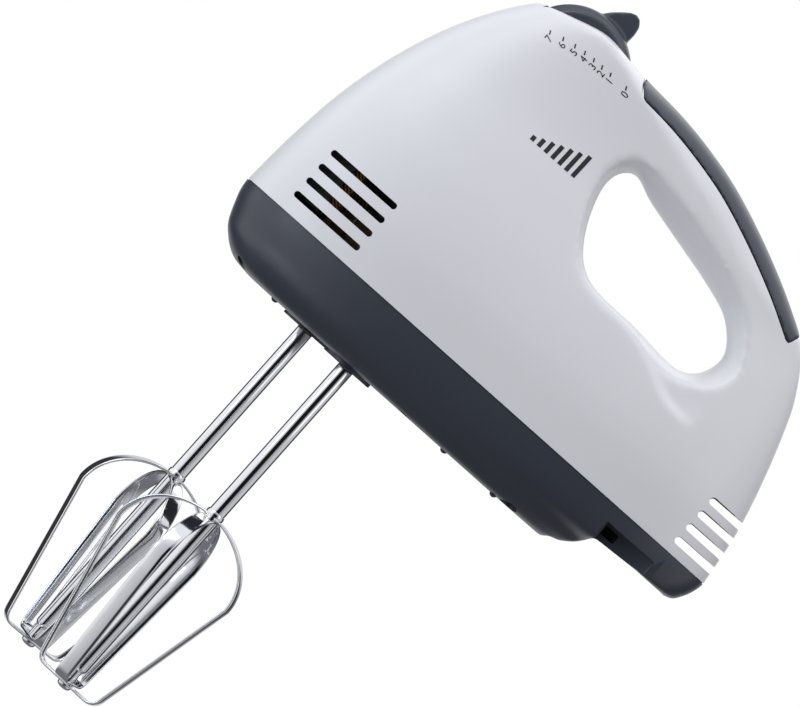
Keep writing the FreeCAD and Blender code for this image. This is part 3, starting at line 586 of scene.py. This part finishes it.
def finish(slot):
    """The material of one of the record's slots, made when it is first asked for."""
    if slot not in FINISHES:
        colours = bpy.context.scene.mixer_colours
        white, slate, chrome = tuple(colours.white), tuple(colours.slate), tuple(colours.chrome)
        makers = {
            "white_plastic": lambda: moulded("white_moulding", white, shade_of(white, 0.965), 0.30),
            "grey_plastic": lambda: moulded("slate_moulding", slate, shade_of(slate, 0.88), 0.33, 0.05),
            "black_plastic": lambda: moulded("black_moulding", (0.016, 0.016, 0.018), (0.01, 0.01, 0.011),
                                             0.5, 0.1),
            "brown_board": lambda: moulded("phenolic_board", (0.58, 0.36, 0.13), (0.42, 0.27, 0.10),
                                           0.42, 0.1),
            "gear_plastic": lambda: moulded("nylon_gear", (0.70, 0.67, 0.58), (0.62, 0.59, 0.5), 0.42, 0.1),
            "chrome_steel": lambda: plated("beater_chrome", chrome),
            "zinc_screws": lambda: metal("zinc_plate", (0.50, 0.51, 0.53), 0.28, 500.0),
            "steel_parts": lambda: metal("drawn_steel", (0.46, 0.46, 0.48), 0.3, 260.0, (0.1, 1.0, 1.0)),
            "lamination_steel": lambda: metal("lamination_stack", (0.20, 0.20, 0.21), 0.4, 700.0,
                                              (4.0, 0.2, 0.2)),
            "copper": lambda: wound_wire("enamelled_winding"),
            "bronze": lambda: metal("sintered_bronze", (0.50, 0.33, 0.15), 0.42, 900.0),
            "carbon": lambda: moulded("carbon_block", (0.018, 0.018, 0.018), (0.03, 0.03, 0.03), 0.6, 0.2),
        }
        FINISHES[slot] = makers[slot]()
    return FINISHES[slot]


def settle(piece, body, slot, *nodes):
    """Gives a finished piece its material, parents it to the body it rides on, and hides any frame nodes it stands
    for.
    """
    piece.data.materials.clear()
    piece.data.materials.append(finish(slot))
    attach(piece, body)
    if nodes:
        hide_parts(*nodes)
    return piece


# ------------------------------------------------------------------ housing
def swollen(piece, by):
    """Pushes a piece's skin outwards along its normals."""
    bm = bmesh.new()
    bm.from_mesh(piece.data)
    bm.normal_update()
    for vert in bm.verts:
        vert.co += vert.normal * by
    bm.to_mesh(piece.data)
    bm.free()
    return piece


def outer_form():
    """The whole white housing as one softly rounded solid."""
    sizes = bpy.context.scene.mixer_sizes
    form = housing_block()
    carve(form, above_top())
    carve(form, grip_opening())
    return remeshed(form, sizes.shell_grain / MM, sizes.shell_rounds)


def shell_cavity(wall):
    """The hollow of the housing: the body under the grip, and the nose up to the dial."""
    bm = bmesh.new()
    levels = [SEAM - 4 + step * (128 - SEAM) / 30 for step in range(31)]
    loops_into(bm, [level_curve(height, *along(STATIONS, max(height, SEAM)), inset=wall)
                    for height in levels])
    hollow = new_piece("hollow", bm)
    roof = side_prism("roof", [(x, height - 7.5) for x, height, *rest in TOP_LINE if x < 26]
                      + [(26, 124), (26, 62), (160, 57), (160, 200), (-90, 200), (-90, 118)], -60, 60)
    return carve(hollow, roof)


def slot_cutter(start, end, first, pitch, height, low_y, high_y):
    """Four stacked air slots with rounded ends."""
    radius = height / 2
    bm = bmesh.new()
    for step in range(4):
        middle = first + pitch * step
        made = bmesh.ops.create_circle(bm, cap_ends=True, segments=24, radius=radius)["verts"]
        for vert in made:
            shift = (end - radius) if vert.co.x > 1e-6 else (start + radius)
            vert.co = (vert.co.x + shift, low_y, vert.co.y + middle)
        face = made[0].link_faces[0]
        lifted = bmesh.ops.extrude_face_region(bm, geom=[face])["geom"]
        bmesh.ops.translate(bm, vec=(0, high_y - low_y, 0),
                            verts=[item for item in lifted if isinstance(item, bmesh.types.BMVert)])
    return new_piece("slots", bm)


class MIXER_OT_housing(bpy.types.Operator):
    """Makes both white shell halves and the dark strip let into the grip"""

    bl_idname = "mixer.housing"
    bl_label = "White shells and grip strip"

    def execute(self, context):
        sizes = context.scene.mixer_sizes
        form = outer_form()
        strip = swollen(duplicate(form, "grip_band"), sizes.strip_proud)
        carve(strip, strip_zone(0), "INTERSECT")
        remeshed(strip, 0.7, 3)
        settle(crisp(strip, 60), "housing", "grey_plastic", "grip_strip")

        carve(form, boxes("below_seam", [((-90, -90, -20), (180, 90, SEAM + SEAM_LIFT))]))
        carve(form, shell_cavity(sizes.wall / MM))
        carve(form, slot_cutter(-39.0, -11.0, 29.9, 5.85, 2.3, -70, 70))
        carve(form, slot_cutter(124.7, 170, 28.3, 5.55, 2.75, -70, 70))
        carve(form, dial_well())
        carve(form, strip_zone(sizes.strip_gap / MM))
        other = duplicate(form, "shell_half_right")
        form.name = "shell_half_left"
        carve(form, boxes("right_side", [((-90, -0.04, -20), (180, 90, 180))]))
        carve(other, boxes("left_side", [((-90, -90, -20), (180, 0.04, 180))]))
        settle(crisp(form), "housing", "white_plastic", "shell_left")
        settle(crisp(other), "housing", "white_plastic", "shell_right")
        return {"FINISHED"}


# ------------------------------------------------------------------ base
class MIXER_OT_base(bpy.types.Operator):
    """Makes the grey base with its stepped tail, inlet recess, socket collars and studs"""

    bl_idname = "mixer.base"
    bl_label = "Grey base"

    def execute(self, context):
        sizes = context.scene.mixer_sizes
        wall, gap = sizes.wall / MM, sizes.seam_gap / MM
        tub = base_block()
        carve(tub, side_prism("step", STEP, -60, 60))
        remeshed(tub, sizes.base_grain / MM, 7)
        carve(tub, boxes("above_seam", [((-90, -90, SEAM + SEAM_LIFT - gap), (180, 90, 60))]))
        hollow = base_block(wall)
        carve(hollow, side_prism("inner_step", [(x - wall, z + wall) for x, z in STEP], -60, 60))
        carve(tub, hollow)
        carve(tub, boxes("recess_block", [((103, -26.2, 12.6), (127, -20, 20.4))]), "UNION")
        carve(tub, boxes("recess", [((105, -60, 9), (125, -25.6, 18))], 0.5))
        carve(tub, boxes("inlet", [((105.7, -60, 13.4), (111, -20, 16.6))], 0.3))
        for x, y in (NEAR.xy, FAR.xy):
            carve(tub, rods("collar", [(COLLAR_RADIUS, (x, y, -1.3), (x, y, 4))], 72), "UNION")
            carve(tub, rods("sleeve_hole", [(SLEEVE_HOLE_RADIUS, (x, y, -5), (x, y, 9))], 72))
        for place in ((-34, 0), (78, 24), (78, -24), (34, 27), (34, -27)):
            carve(tub, rods("screw_well", [(SCREW_WELL_RADIUS, (*place, -4), (*place, 6.4))], 40))
        carve(tub, rods("nose_pocket", [(2.3, (-37.5, -18.5, -4), (-37.5, -18.5, 3.1))], 40))
        for place in ((-22, -14), (51, -24), (72, -23)):
            bm = bmesh.new()
            bmesh.ops.create_uvsphere(bm, u_segments=24, v_segments=14, radius=STUD_RADIUS,
                                      matrix=Matrix.Translation((*place, 0.5)))
            carve(tub, new_piece("stud", bm), "UNION")
        tub.name = "base_tub"
        settle(crisp(tub), "housing", "grey_plastic", "base_cover")

        bm = bmesh.new()
        ends = STATIONS[0][1:]
        low, high = SEAM + SEAM_LIFT - gap - 0.4, SEAM + SEAM_LIFT - 0.05
        outer = [level_curve(height, *ends, inset=0.45) for height in (low, high)]
        inner = [level_curve(height, *ends, inset=2.2) for height in (low, high)]
        loops_into(bm, outer)
        lip = new_piece("seam_lip", bm)
        bm = bmesh.new()
        loops_into(bm, [[point + Vector((0, 0, step * 4 - 2)) for point in curve]
                        for step, curve in enumerate(inner)])
        carve(lip, new_piece("inside_lip", bm))
        settle(crisp(lip), "housing", "grey_plastic")
        return {"FINISHED"}


# ------------------------------------------------------------------ speed dial
FIN = ((-7.5, 131), (-5.4, 138.4), (-3.4, 141.0), (-0.8, 143.4), (1.5, 145.2), (3.4, 145.9), (5.2, 145.4),
       (6.6, 143.4), (7.0, 140.4), (6.7, 136.5), (8.6, 134.6), (10.4, 131.5))


class MIXER_OT_dial(bpy.types.Operator):
    """Makes the crowned speed dial with its thumb fin"""

    bl_idname = "mixer.dial"
    bl_label = "Speed dial"

    def execute(self, context):
        bm = bmesh.new()
        half = 9.4
        outline = [(0, -half), (16.9, -half), (17.7, -half + 0.5), (18.0, -half + 1.2), (19.3, -half + 2.6),
                   (19.85, -half + 4.4), (20.0, -half + 6.8), (20.0, half - 6.8), (19.85, half - 4.4),
                   (19.3, half - 2.6), (18.0, half - 1.2), (17.7, half - 0.5), (16.9, half), (0, half)]
        spun(bm, outline, DIAL, (0, 1, 0), (1, 0, 0), 160)
        wheel = new_piece("thumb_dial", bm)
        fin = side_prism("fin", FIN, -4.5, 4.5)
        bm = bmesh.new()
        bm.from_mesh(fin.data)
        for vert in bm.verts:
            vert.co.y *= 1 - 0.42 * max(0, vert.co.z / MM - 134) / 12
        bm.to_mesh(fin.data)
        bm.free()
        carve(wheel, fin, "UNION")
        remeshed(wheel, 0.45, 5)
        settle(crisp(wheel, 60), "speed_dial", "grey_plastic", "speed_dial")
        return {"FINISHED"}


# ------------------------------------------------------------------ printed marks
TICKS = (("7", -12.8, 122.4), ("6", -8.2, 123.6), ("5", -3.8, 124.4), ("4", 0.0, 124.8), ("3", 3.7, 125.0),
         ("2", 7.2, 125.0), ("1", 10.8, 125.0), ("0", 17.4, 125.1))


def side_of_shell():
    """The left shell as something that marks can be laid on."""
    shell = bpy.data.objects["shell_half_left"]
    bm = bmesh.new()
    bm.from_mesh(shell.data)
    tree = BVHTree.FromBMesh(bm)
    bm.free()
    return tree


def laid_on(bm, tree, lift):
    """Lays flat shapes, drawn in the side view, on the shell and gives them the ink's thickness."""
    for _ in range(2):
        longest = [edge for edge in bm.edges if edge.calc_length() > 0.9]
        if longest:
            bmesh.ops.subdivide_edges(bm, edges=longest, cuts=2, use_grid_fill=True)
    bmesh.ops.triangulate(bm, faces=bm.faces)
    for vert in bm.verts:
        hit = tree.ray_cast(Vector((vert.co.x * MM, -0.1, vert.co.z * MM)), Vector((0, 1, 0)))[0]
        vert.co = (vert.co.x, hit.y / MM - 0.02, vert.co.z)
    skin = bmesh.ops.extrude_face_region(bm, geom=bm.faces[:])["geom"]
    bmesh.ops.translate(bm, vec=(0, -lift, 0),
                        verts=[item for item in skin if isinstance(item, bmesh.types.BMVert)])


def numeral_into(bm, text, height, x, z, turn):
    """Adds one numeral, drawn in the side view and turned about its own middle."""
    curve = bpy.data.curves.new("numeral", "FONT")
    curve.body, curve.size = text, height / 0.7
    curve.align_x, curve.align_y = "CENTER", "CENTER"
    curve.resolution_u = 4
    holder = bpy.data.objects.new("numeral", curve)
    bpy.context.scene.collection.objects.link(holder)
    bpy.context.view_layer.update()
    mesh = bpy.data.meshes.new_from_object(holder.evaluated_get(bpy.context.evaluated_depsgraph_get()))
    start = len(bm.verts)
    bm.from_mesh(mesh)
    bm.verts.ensure_lookup_table()
    place = Matrix.Translation((x, 0, z)) @ Matrix.Rotation(turn, 4, "Y")
    place = place @ Matrix.Rotation(math.pi / 2, 4, "X") @ Matrix.Diagonal((0.82, 1, 1, 1))
    bmesh.ops.transform(bm, matrix=place, verts=bm.verts[start:])
    bpy.data.objects.remove(holder)
    bpy.data.curves.remove(curve)
    bpy.data.meshes.remove(mesh)


def stroke_into(bm, start, end, width):
    """Adds a short straight stroke in the side view."""
    a, b = Vector((start[0], 0, start[1])), Vector((end[0], 0, end[1]))
    across = Vector((-(b - a).z, 0, (b - a).x)).normalized() * width / 2
    bm.faces.new([bm.verts.new(point) for point in (a - across, b - across, b + across, a + across)])


class MIXER_OT_marks(bpy.types.Operator):
    """Prints the speed scale under the dial and a rising row of bars on the side"""

    bl_idname = "mixer.marks"
    bl_label = "Printed marks"

    def execute(self, context):
        sizes = context.scene.mixer_sizes
        tree, lift = side_of_shell(), sizes.ink_lift / MM
        bm = bmesh.new()
        for text, x, z in TICKS:
            stroke_into(bm, (x + 0.3, z - 0.6), (x - 0.35, z + 0.7), 0.45)
            numeral_into(bm, text, sizes.mark_height / MM, x + 1.1, z - 1.75, -math.pi / 2)
        bmesh.ops.remove_doubles(bm, verts=bm.verts, dist=1e-4)
        laid_on(bm, tree, lift)
        settle(new_piece("speed_scale", bm, smooth=False), "housing", "black_plastic")

        bm = bmesh.new()
        for step in range(7):
            x = 6.2 + step * 2.9
            top = 94.2 + step * 1.15
            stroke_into(bm, (x, 92.4), (x, top), 1.5)
        laid_on(bm, tree, lift)
        settle(new_piece("rising_bars", bm, smooth=False), "housing", "black_plastic")
        return {"FINISHED"}


# ------------------------------------------------------------------ beaters
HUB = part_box("beater_outer_loop_near")[1][2] / MM
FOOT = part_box("beater_outer_loop_near")[0][2] / MM
SHANK_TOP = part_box("beater_shank_near")[1][2] / MM
SHANK_RADIUS = (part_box("beater_shank_near")[1][0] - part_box("beater_shank_near")[0][0]) / 2 / MM
LOOP_ANGLES = {"near": -11.0, "far": 22.8}


def loop_path(inset):
    """The middle line of a beater strip: arched shoulders, straight taper, rounded foot corners."""
    wide, shoulder, foot, low = 24.4 - inset, -20.0, 12.5 - inset, FOOT - HUB + inset
    half = []
    for step in range(23):
        turn = step / 22 * math.pi / 2
        half.append(Vector((wide * math.sin(turn), 0, shoulder + (-shoulder - inset) * math.cos(turn))))
    tip = Vector((foot, 0, low))
    slope = (tip - half[-1]).normalized()
    corner = 3.4
    start, end = tip - slope * corner, tip - Vector((corner, 0, 0))
    half += [half[22].lerp(start, step / 6) for step in range(1, 6)]
    half += [start.lerp(tip, u).lerp(tip.lerp(end, u), u) for u in (0, 0.2, 0.4, 0.6, 0.8, 1)]
    half += [Vector((end.x * (1 - step / 4), 0, low)) for step in range(1, 4)]
    rest = [Vector((-point.x, 0, point.z)) for point in half[1:]][::-1]
    return half + [Vector((0, 0, low))] + rest


def strip_loop(name, inset, angle, centre):
    """A bright strip bent to a closed loop: flat inside, faintly crowned outside, with eased edges."""
    width, thick = 5.4, 0.9
    section = [(-width / 2 + 0.35, -thick / 2), (width / 2 - 0.35, -thick / 2),
               (width / 2 - 0.08, -thick * 0.32), (width / 2, 0.0), (width / 2 - 0.1, thick * 0.3),
               (width / 2 - 0.45, thick * 0.44),
               (width / 4, thick * 0.5), (-width / 4, thick * 0.5), (-width / 2 + 0.45, thick * 0.44),
               (-width / 2 + 0.1, thick * 0.3), (-width / 2, 0.0), (-width / 2 + 0.08, -thick * 0.32)]
    path = loop_path(inset + thick / 2)
    count = len(path)
    bm = bmesh.new()
    rings = []
    for index, point in enumerate(path):
        run = (path[(index + 1) % count] - path[index - 1]).normalized()
        outward = Vector((-run.z, 0, run.x))
        ring = bmesh.ops.create_circle(bm, segments=len(section), radius=1)["verts"]
        for vert, (across, up) in zip(ring, section):
            vert.co = point + Vector((0, across, 0)) + outward * up
        rings.append(list({edge for vert in ring for edge in vert.link_edges}))
    for index in range(count):
        bmesh.ops.bridge_loops(bm, edges=rings[index] + rings[(index + 1) % count])
    place = Matrix.Translation((centre.x, centre.y, HUB)) @ Matrix.Rotation(math.radians(angle), 4, "Z")
    bmesh.ops.transform(bm, matrix=place, verts=bm.verts)
    piece = new_piece(name, bm)
    return crisp(piece, 50)


class MIXER_OT_beaters(bpy.types.Operator):
    """Makes both beaters: polished shank, two crossed strip loops, hub ferrule and bottom rivet"""

    bl_idname = "mixer.beaters"
    bl_label = "Beaters"

    def execute(self, context):
        for word, centre in (("near", NEAR), ("far", FAR)):
            angle, body = LOOP_ANGLES[word], f"beater_{word}"
            at = Vector((centre.x, centre.y, 0))
            bm = bmesh.new()
            spun(bm, [(0, FOOT + 1.9), (SHANK_RADIUS - 0.9, FOOT + 1.9), (SHANK_RADIUS - 0.9, FOOT + 6),
                      (SHANK_RADIUS - 0.3, FOOT + 6.6), (SHANK_RADIUS, FOOT + 7.4),
                      (SHANK_RADIUS, SHANK_TOP - 1.6), (SHANK_RADIUS - 0.4, SHANK_TOP - 0.6),
                      (SHANK_RADIUS - 1.2, SHANK_TOP), (0, SHANK_TOP)], at)
            settle(crisp(new_piece(f"shank_{word}", bm)), body, "chrome_steel", f"beater_shank_{word}")
            outer = strip_loop(f"loop_outer_{word}", 0.0, angle, centre)
            settle(outer, body, "chrome_steel", f"beater_outer_loop_{word}")
            inner = strip_loop(f"loop_inner_{word}", 0.92, angle + 90, centre)
            settle(inner, body, "chrome_steel", f"beater_inner_loop_{word}")
            bm = bmesh.new()
            spun(bm, [(SHANK_RADIUS - 0.4, HUB - 0.2), (3.3, HUB - 0.2), (3.4, HUB + 0.3), (3.3, HUB + 0.8),
                      (3.1, HUB + 1.3), (SHANK_RADIUS - 0.4, HUB + 1.6)], at, steps=48)
            settle(crisp(new_piece(f"ferrule_{word}", bm)), body, "chrome_steel", f"beater_ferrule_{word}")
            bm = bmesh.new()
            spun(bm, [(0, FOOT - 1.6), (1.2, FOOT - 1.5), (2.0, FOOT - 1.2), (2.5, FOOT - 0.6),
                      (2.6, FOOT + 0.05), (0, FOOT + 0.05)], at, steps=40)
            settle(crisp(new_piece(f"rivet_{word}", bm)), body, "chrome_steel", f"beater_rivet_{word}")
        return {"FINISHED"}


# ------------------------------------------------------------------ carried pieces
SMOOTHED = ("drive_gear_near", "drive_gear_far", "base_screws", "shell_screws", "stator_core", "field_coils",
            "armature_core", "armature_windings", "commutator", "motor_shaft", "worm", "cooling_fan",
            "brush_springs", "eject_spring", "dial_pin")
BOARDS = ("brush_carrier", "drive_frame")


class MIXER_OT_inner_parts(bpy.types.Operator):
    """Gives every carried piece its finish, and smooth faces to the turned and wound ones"""

    bl_idname = "mixer.inner_parts"
    bl_label = "Motor, gears and screws"

    def execute(self, context):
        slots = {row["node"]: row["material_slot"] for row in frame["record"]["subparts"]}
        bodies = {node: body for body, nodes in frame["record"]["behaviour"]["bodies"].items()
                  for node in nodes}
        for name, node in frame["nodes"].items():
            node.data.materials.clear()
            node.data.materials.append(finish("brown_board" if name in BOARDS else slots[name]))
        for name in SMOOTHED:
            bm = bmesh.new()
            bm.from_mesh(frame["nodes"][name].data)
            bmesh.ops.remove_doubles(bm, verts=bm.verts, dist=2e-6)
            mesh = bpy.data.meshes.new(name + "_finish")
            bm.to_mesh(mesh)
            bm.free()
            piece = bpy.data.objects.new(name + "_finish", mesh)
            context.scene.collection.objects.link(piece)
            settle(crisp(piece, 35), bodies[name], slots[name], name)
        spring = bpy.data.objects["eject_spring_finish"]
        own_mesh(spring)
        return {"FINISHED"}


# ------------------------------------------------------------------ stage
TARGET = Vector((0.01888, 0, 0.0137))
SIDE_TURN, RISE, ROLL = math.radians(2.77), math.radians(0.21), math.radians(41.70)
DISTANCE = 2.167
PIXELS_PER_METRE, IMAGE_WIDTH, SENSOR = 3100.8, 800, 36.0
FLOOR_DROP = 90.0


def glowing(name, colour, strength):
    """A plain surface that shows as even white paper."""
    material = bpy.data.materials.new(name)
    material.use_nodes = True
    shader = material.node_tree.nodes["Principled BSDF"]
    shader.inputs["Base Color"].default_value = (*colour, 1)
    shader.inputs["Roughness"].default_value = 0.9
    shader.inputs["Emission Color"].default_value = (1, 1, 1, 1)
    shader.inputs["Emission Strength"].default_value = strength
    return material


def area_light(name, place, size, power, colour=(1, 1, 1)):
    """A soft box that faces the mixer."""
    light = bpy.data.lights.new(name, "AREA")
    light.shape, light.size, light.size_y = "RECTANGLE", size[0], size[1]
    light.energy, light.color = power, colour
    holder = bpy.data.objects.new(name, light)
    holder.location = place
    holder.rotation_euler = (TARGET - Vector(place)).to_track_quat("-Z", "Y").to_euler()
    bpy.context.scene.collection.objects.link(holder)
    return holder


def studio_world():
    """White paper for the eye; for light and reflections, a pale room with a dark side behind the viewer."""
    world = bpy.data.worlds.new("studio")
    bpy.context.scene.world = world
    world.use_nodes = True
    tree = world.node_tree
    nodes, links = tree.nodes, tree.links
    background = nodes["Background"]
    place = Value(tree, nodes.new("ShaderNodeTexCoord").outputs["Generated"])
    parts = nodes.new("ShaderNodeSeparateXYZ")
    links.new(place.socket, parts.inputs[0])
    x, y, z = (Value(tree, parts.outputs[axis]) for axis in "XYZ")
    azimuth = x.maths("ARCTAN2", x, y * -1.0)
    ramp = nodes.new("ShaderNodeValToRGB")
    stops = ((0.0, 0.75), (0.05, 0.75), (0.08, 0.04), (0.17, 0.04), (0.21, 1.15), (0.40, 1.0), (0.445, 0.55),
             (0.46, 0.01), (0.58, 0.01), (0.60, 0.40), (0.68, 0.62), (0.80, 0.72), (0.83, 0.05), (0.93, 0.05),
             (0.96, 0.75), (1.0, 0.75))
    ramp.color_ramp.elements.remove(ramp.color_ramp.elements[1])
    for index, (at, level) in enumerate(stops):
        stop = ramp.color_ramp.elements[0] if index == 0 else ramp.color_ramp.elements.new(at)
        stop.position, stop.color = at, (level, level, level * 1.03, 1)
    share = azimuth * (1 / math.tau) + 0.5
    links.new(share.socket, ramp.inputs[0])
    steep = (z.maths("ABSOLUTE", z) * 2.4 - 1.0).clamped()
    overhead = (z * 4.0).clamped()
    mix = nodes.new("ShaderNodeMix")
    mix.data_type = "RGBA"
    links.new(steep.socket, mix.inputs[0])
    links.new(ramp.outputs[0], mix.inputs[6])
    dome = nodes.new("ShaderNodeMix")
    dome.data_type = "RGBA"
    links.new(overhead.socket, dome.inputs[0])
    dome.inputs[6].default_value, dome.inputs[7].default_value = (0.20, 0.20, 0.22, 1), (1.05, 1.06, 1.12, 1)
    links.new(dome.outputs[2], mix.inputs[7])
    sight = nodes.new("ShaderNodeLightPath")
    shown = nodes.new("ShaderNodeMix")
    shown.data_type = "RGBA"
    links.new(sight.outputs["Is Camera Ray"], shown.inputs[0])
    links.new(mix.outputs[2], shown.inputs[6])
    shown.inputs[7].default_value = (1.0, 1.0, 1.0, 1)
    links.new(shown.outputs[2], background.inputs["Color"])
    background.inputs["Strength"].default_value = 1.0


class MIXER_OT_stage(bpy.types.Operator):
    """Sets the pale floor, the soft lights and the camera"""

    bl_idname = "mixer.stage"
    bl_label = "Floor, lights and camera"

    def execute(self, context):
        bm = bmesh.new()
        bmesh.ops.create_circle(bm, cap_ends=True, segments=96, radius=900)
        bmesh.ops.translate(bm, vec=(0, 0, CAD_BOX[0][2] / MM - FLOOR_DROP), verts=bm.verts)
        floor = new_piece("paper_floor", bm, glowing("white_paper", (0.9, 0.9, 0.9), 0.55), smooth=False)
        floor.visible_glossy = floor.visible_diffuse = False
        studio_world()
        area_light("key_box", (-0.9, -0.8, 1.1), (0.8, 0.8), 4.4)
        area_light("fill_box", (1.3, -0.7, 0.5), (0.7, 1.0), 1.6)
        area_light("nose_box", (-0.95, -0.87, 0.12), (0.22, 0.30), 1.1, (0.55, 0.75, 1.0))
        area_light("back_box", (0.2, 1.2, 0.9), (1.0, 0.8), 1.5)
        back = Vector((math.sin(SIDE_TURN) * math.cos(RISE), -math.cos(SIDE_TURN) * math.cos(RISE),
                       math.sin(RISE)))
        right = Vector((math.cos(SIDE_TURN), math.sin(SIDE_TURN), 0))
        up = back.cross(right)
        across = right * math.cos(ROLL) + up * math.sin(ROLL)
        upward = up * math.cos(ROLL) - right * math.sin(ROLL)
        data = bpy.data.cameras.new("camera")
        data.sensor_fit, data.sensor_width = "HORIZONTAL", SENSOR
        data.lens = PIXELS_PER_METRE * DISTANCE / IMAGE_WIDTH * SENSOR
        data.clip_end = 50
        camera = bpy.data.objects.new("camera", data)
        place = Matrix((across, upward, back)).transposed().to_4x4()
        place.translation = TARGET + back * DISTANCE
        camera.matrix_world = place
        context.scene.collection.objects.link(camera)
        context.scene.camera = camera
        context.scene.view_settings.view_transform = "Standard"
        return {"FINISHED"}


class MIXER_PT_pieces(bpy.types.Panel):
    """Lists the mixer's pieces in the order they are made"""

    bl_label = "Hand mixer"
    bl_idname = "MIXER_PT_pieces"
    bl_space_type = "VIEW_3D"
    bl_region_type = "UI"
    bl_category = "Mixer"

    def draw(self, context):
        for name in STEPS:
            self.layout.operator(f"mixer.{name}")
        for group in (context.scene.mixer_sizes, context.scene.mixer_colours):
            box = self.layout.box()
            for name in group.__annotations__:
                box.prop(group, name)


STEPS = ("inner_parts", "housing", "base", "dial", "marks", "beaters", "stage")
CLASSES = (MixerSizes, MixerColours, MIXER_OT_inner_parts, MIXER_OT_housing, MIXER_OT_base, MIXER_OT_dial,
           MIXER_OT_marks, MIXER_OT_beaters, MIXER_OT_stage, MIXER_PT_pieces)


def register():
    for kind in CLASSES:
        bpy.utils.register_class(kind)
    bpy.types.Scene.mixer_sizes = PointerProperty(type=MixerSizes)
    bpy.types.Scene.mixer_colours = PointerProperty(type=MixerColours)


def unregister():
    del bpy.types.Scene.mixer_sizes
    del bpy.types.Scene.mixer_colours
    for kind in reversed(CLASSES):
        bpy.utils.unregister_class(kind)


def main():
    register()
    for name in STEPS:
        getattr(bpy.ops.mixer, name)()


if __name__ == "__main__":
    main()
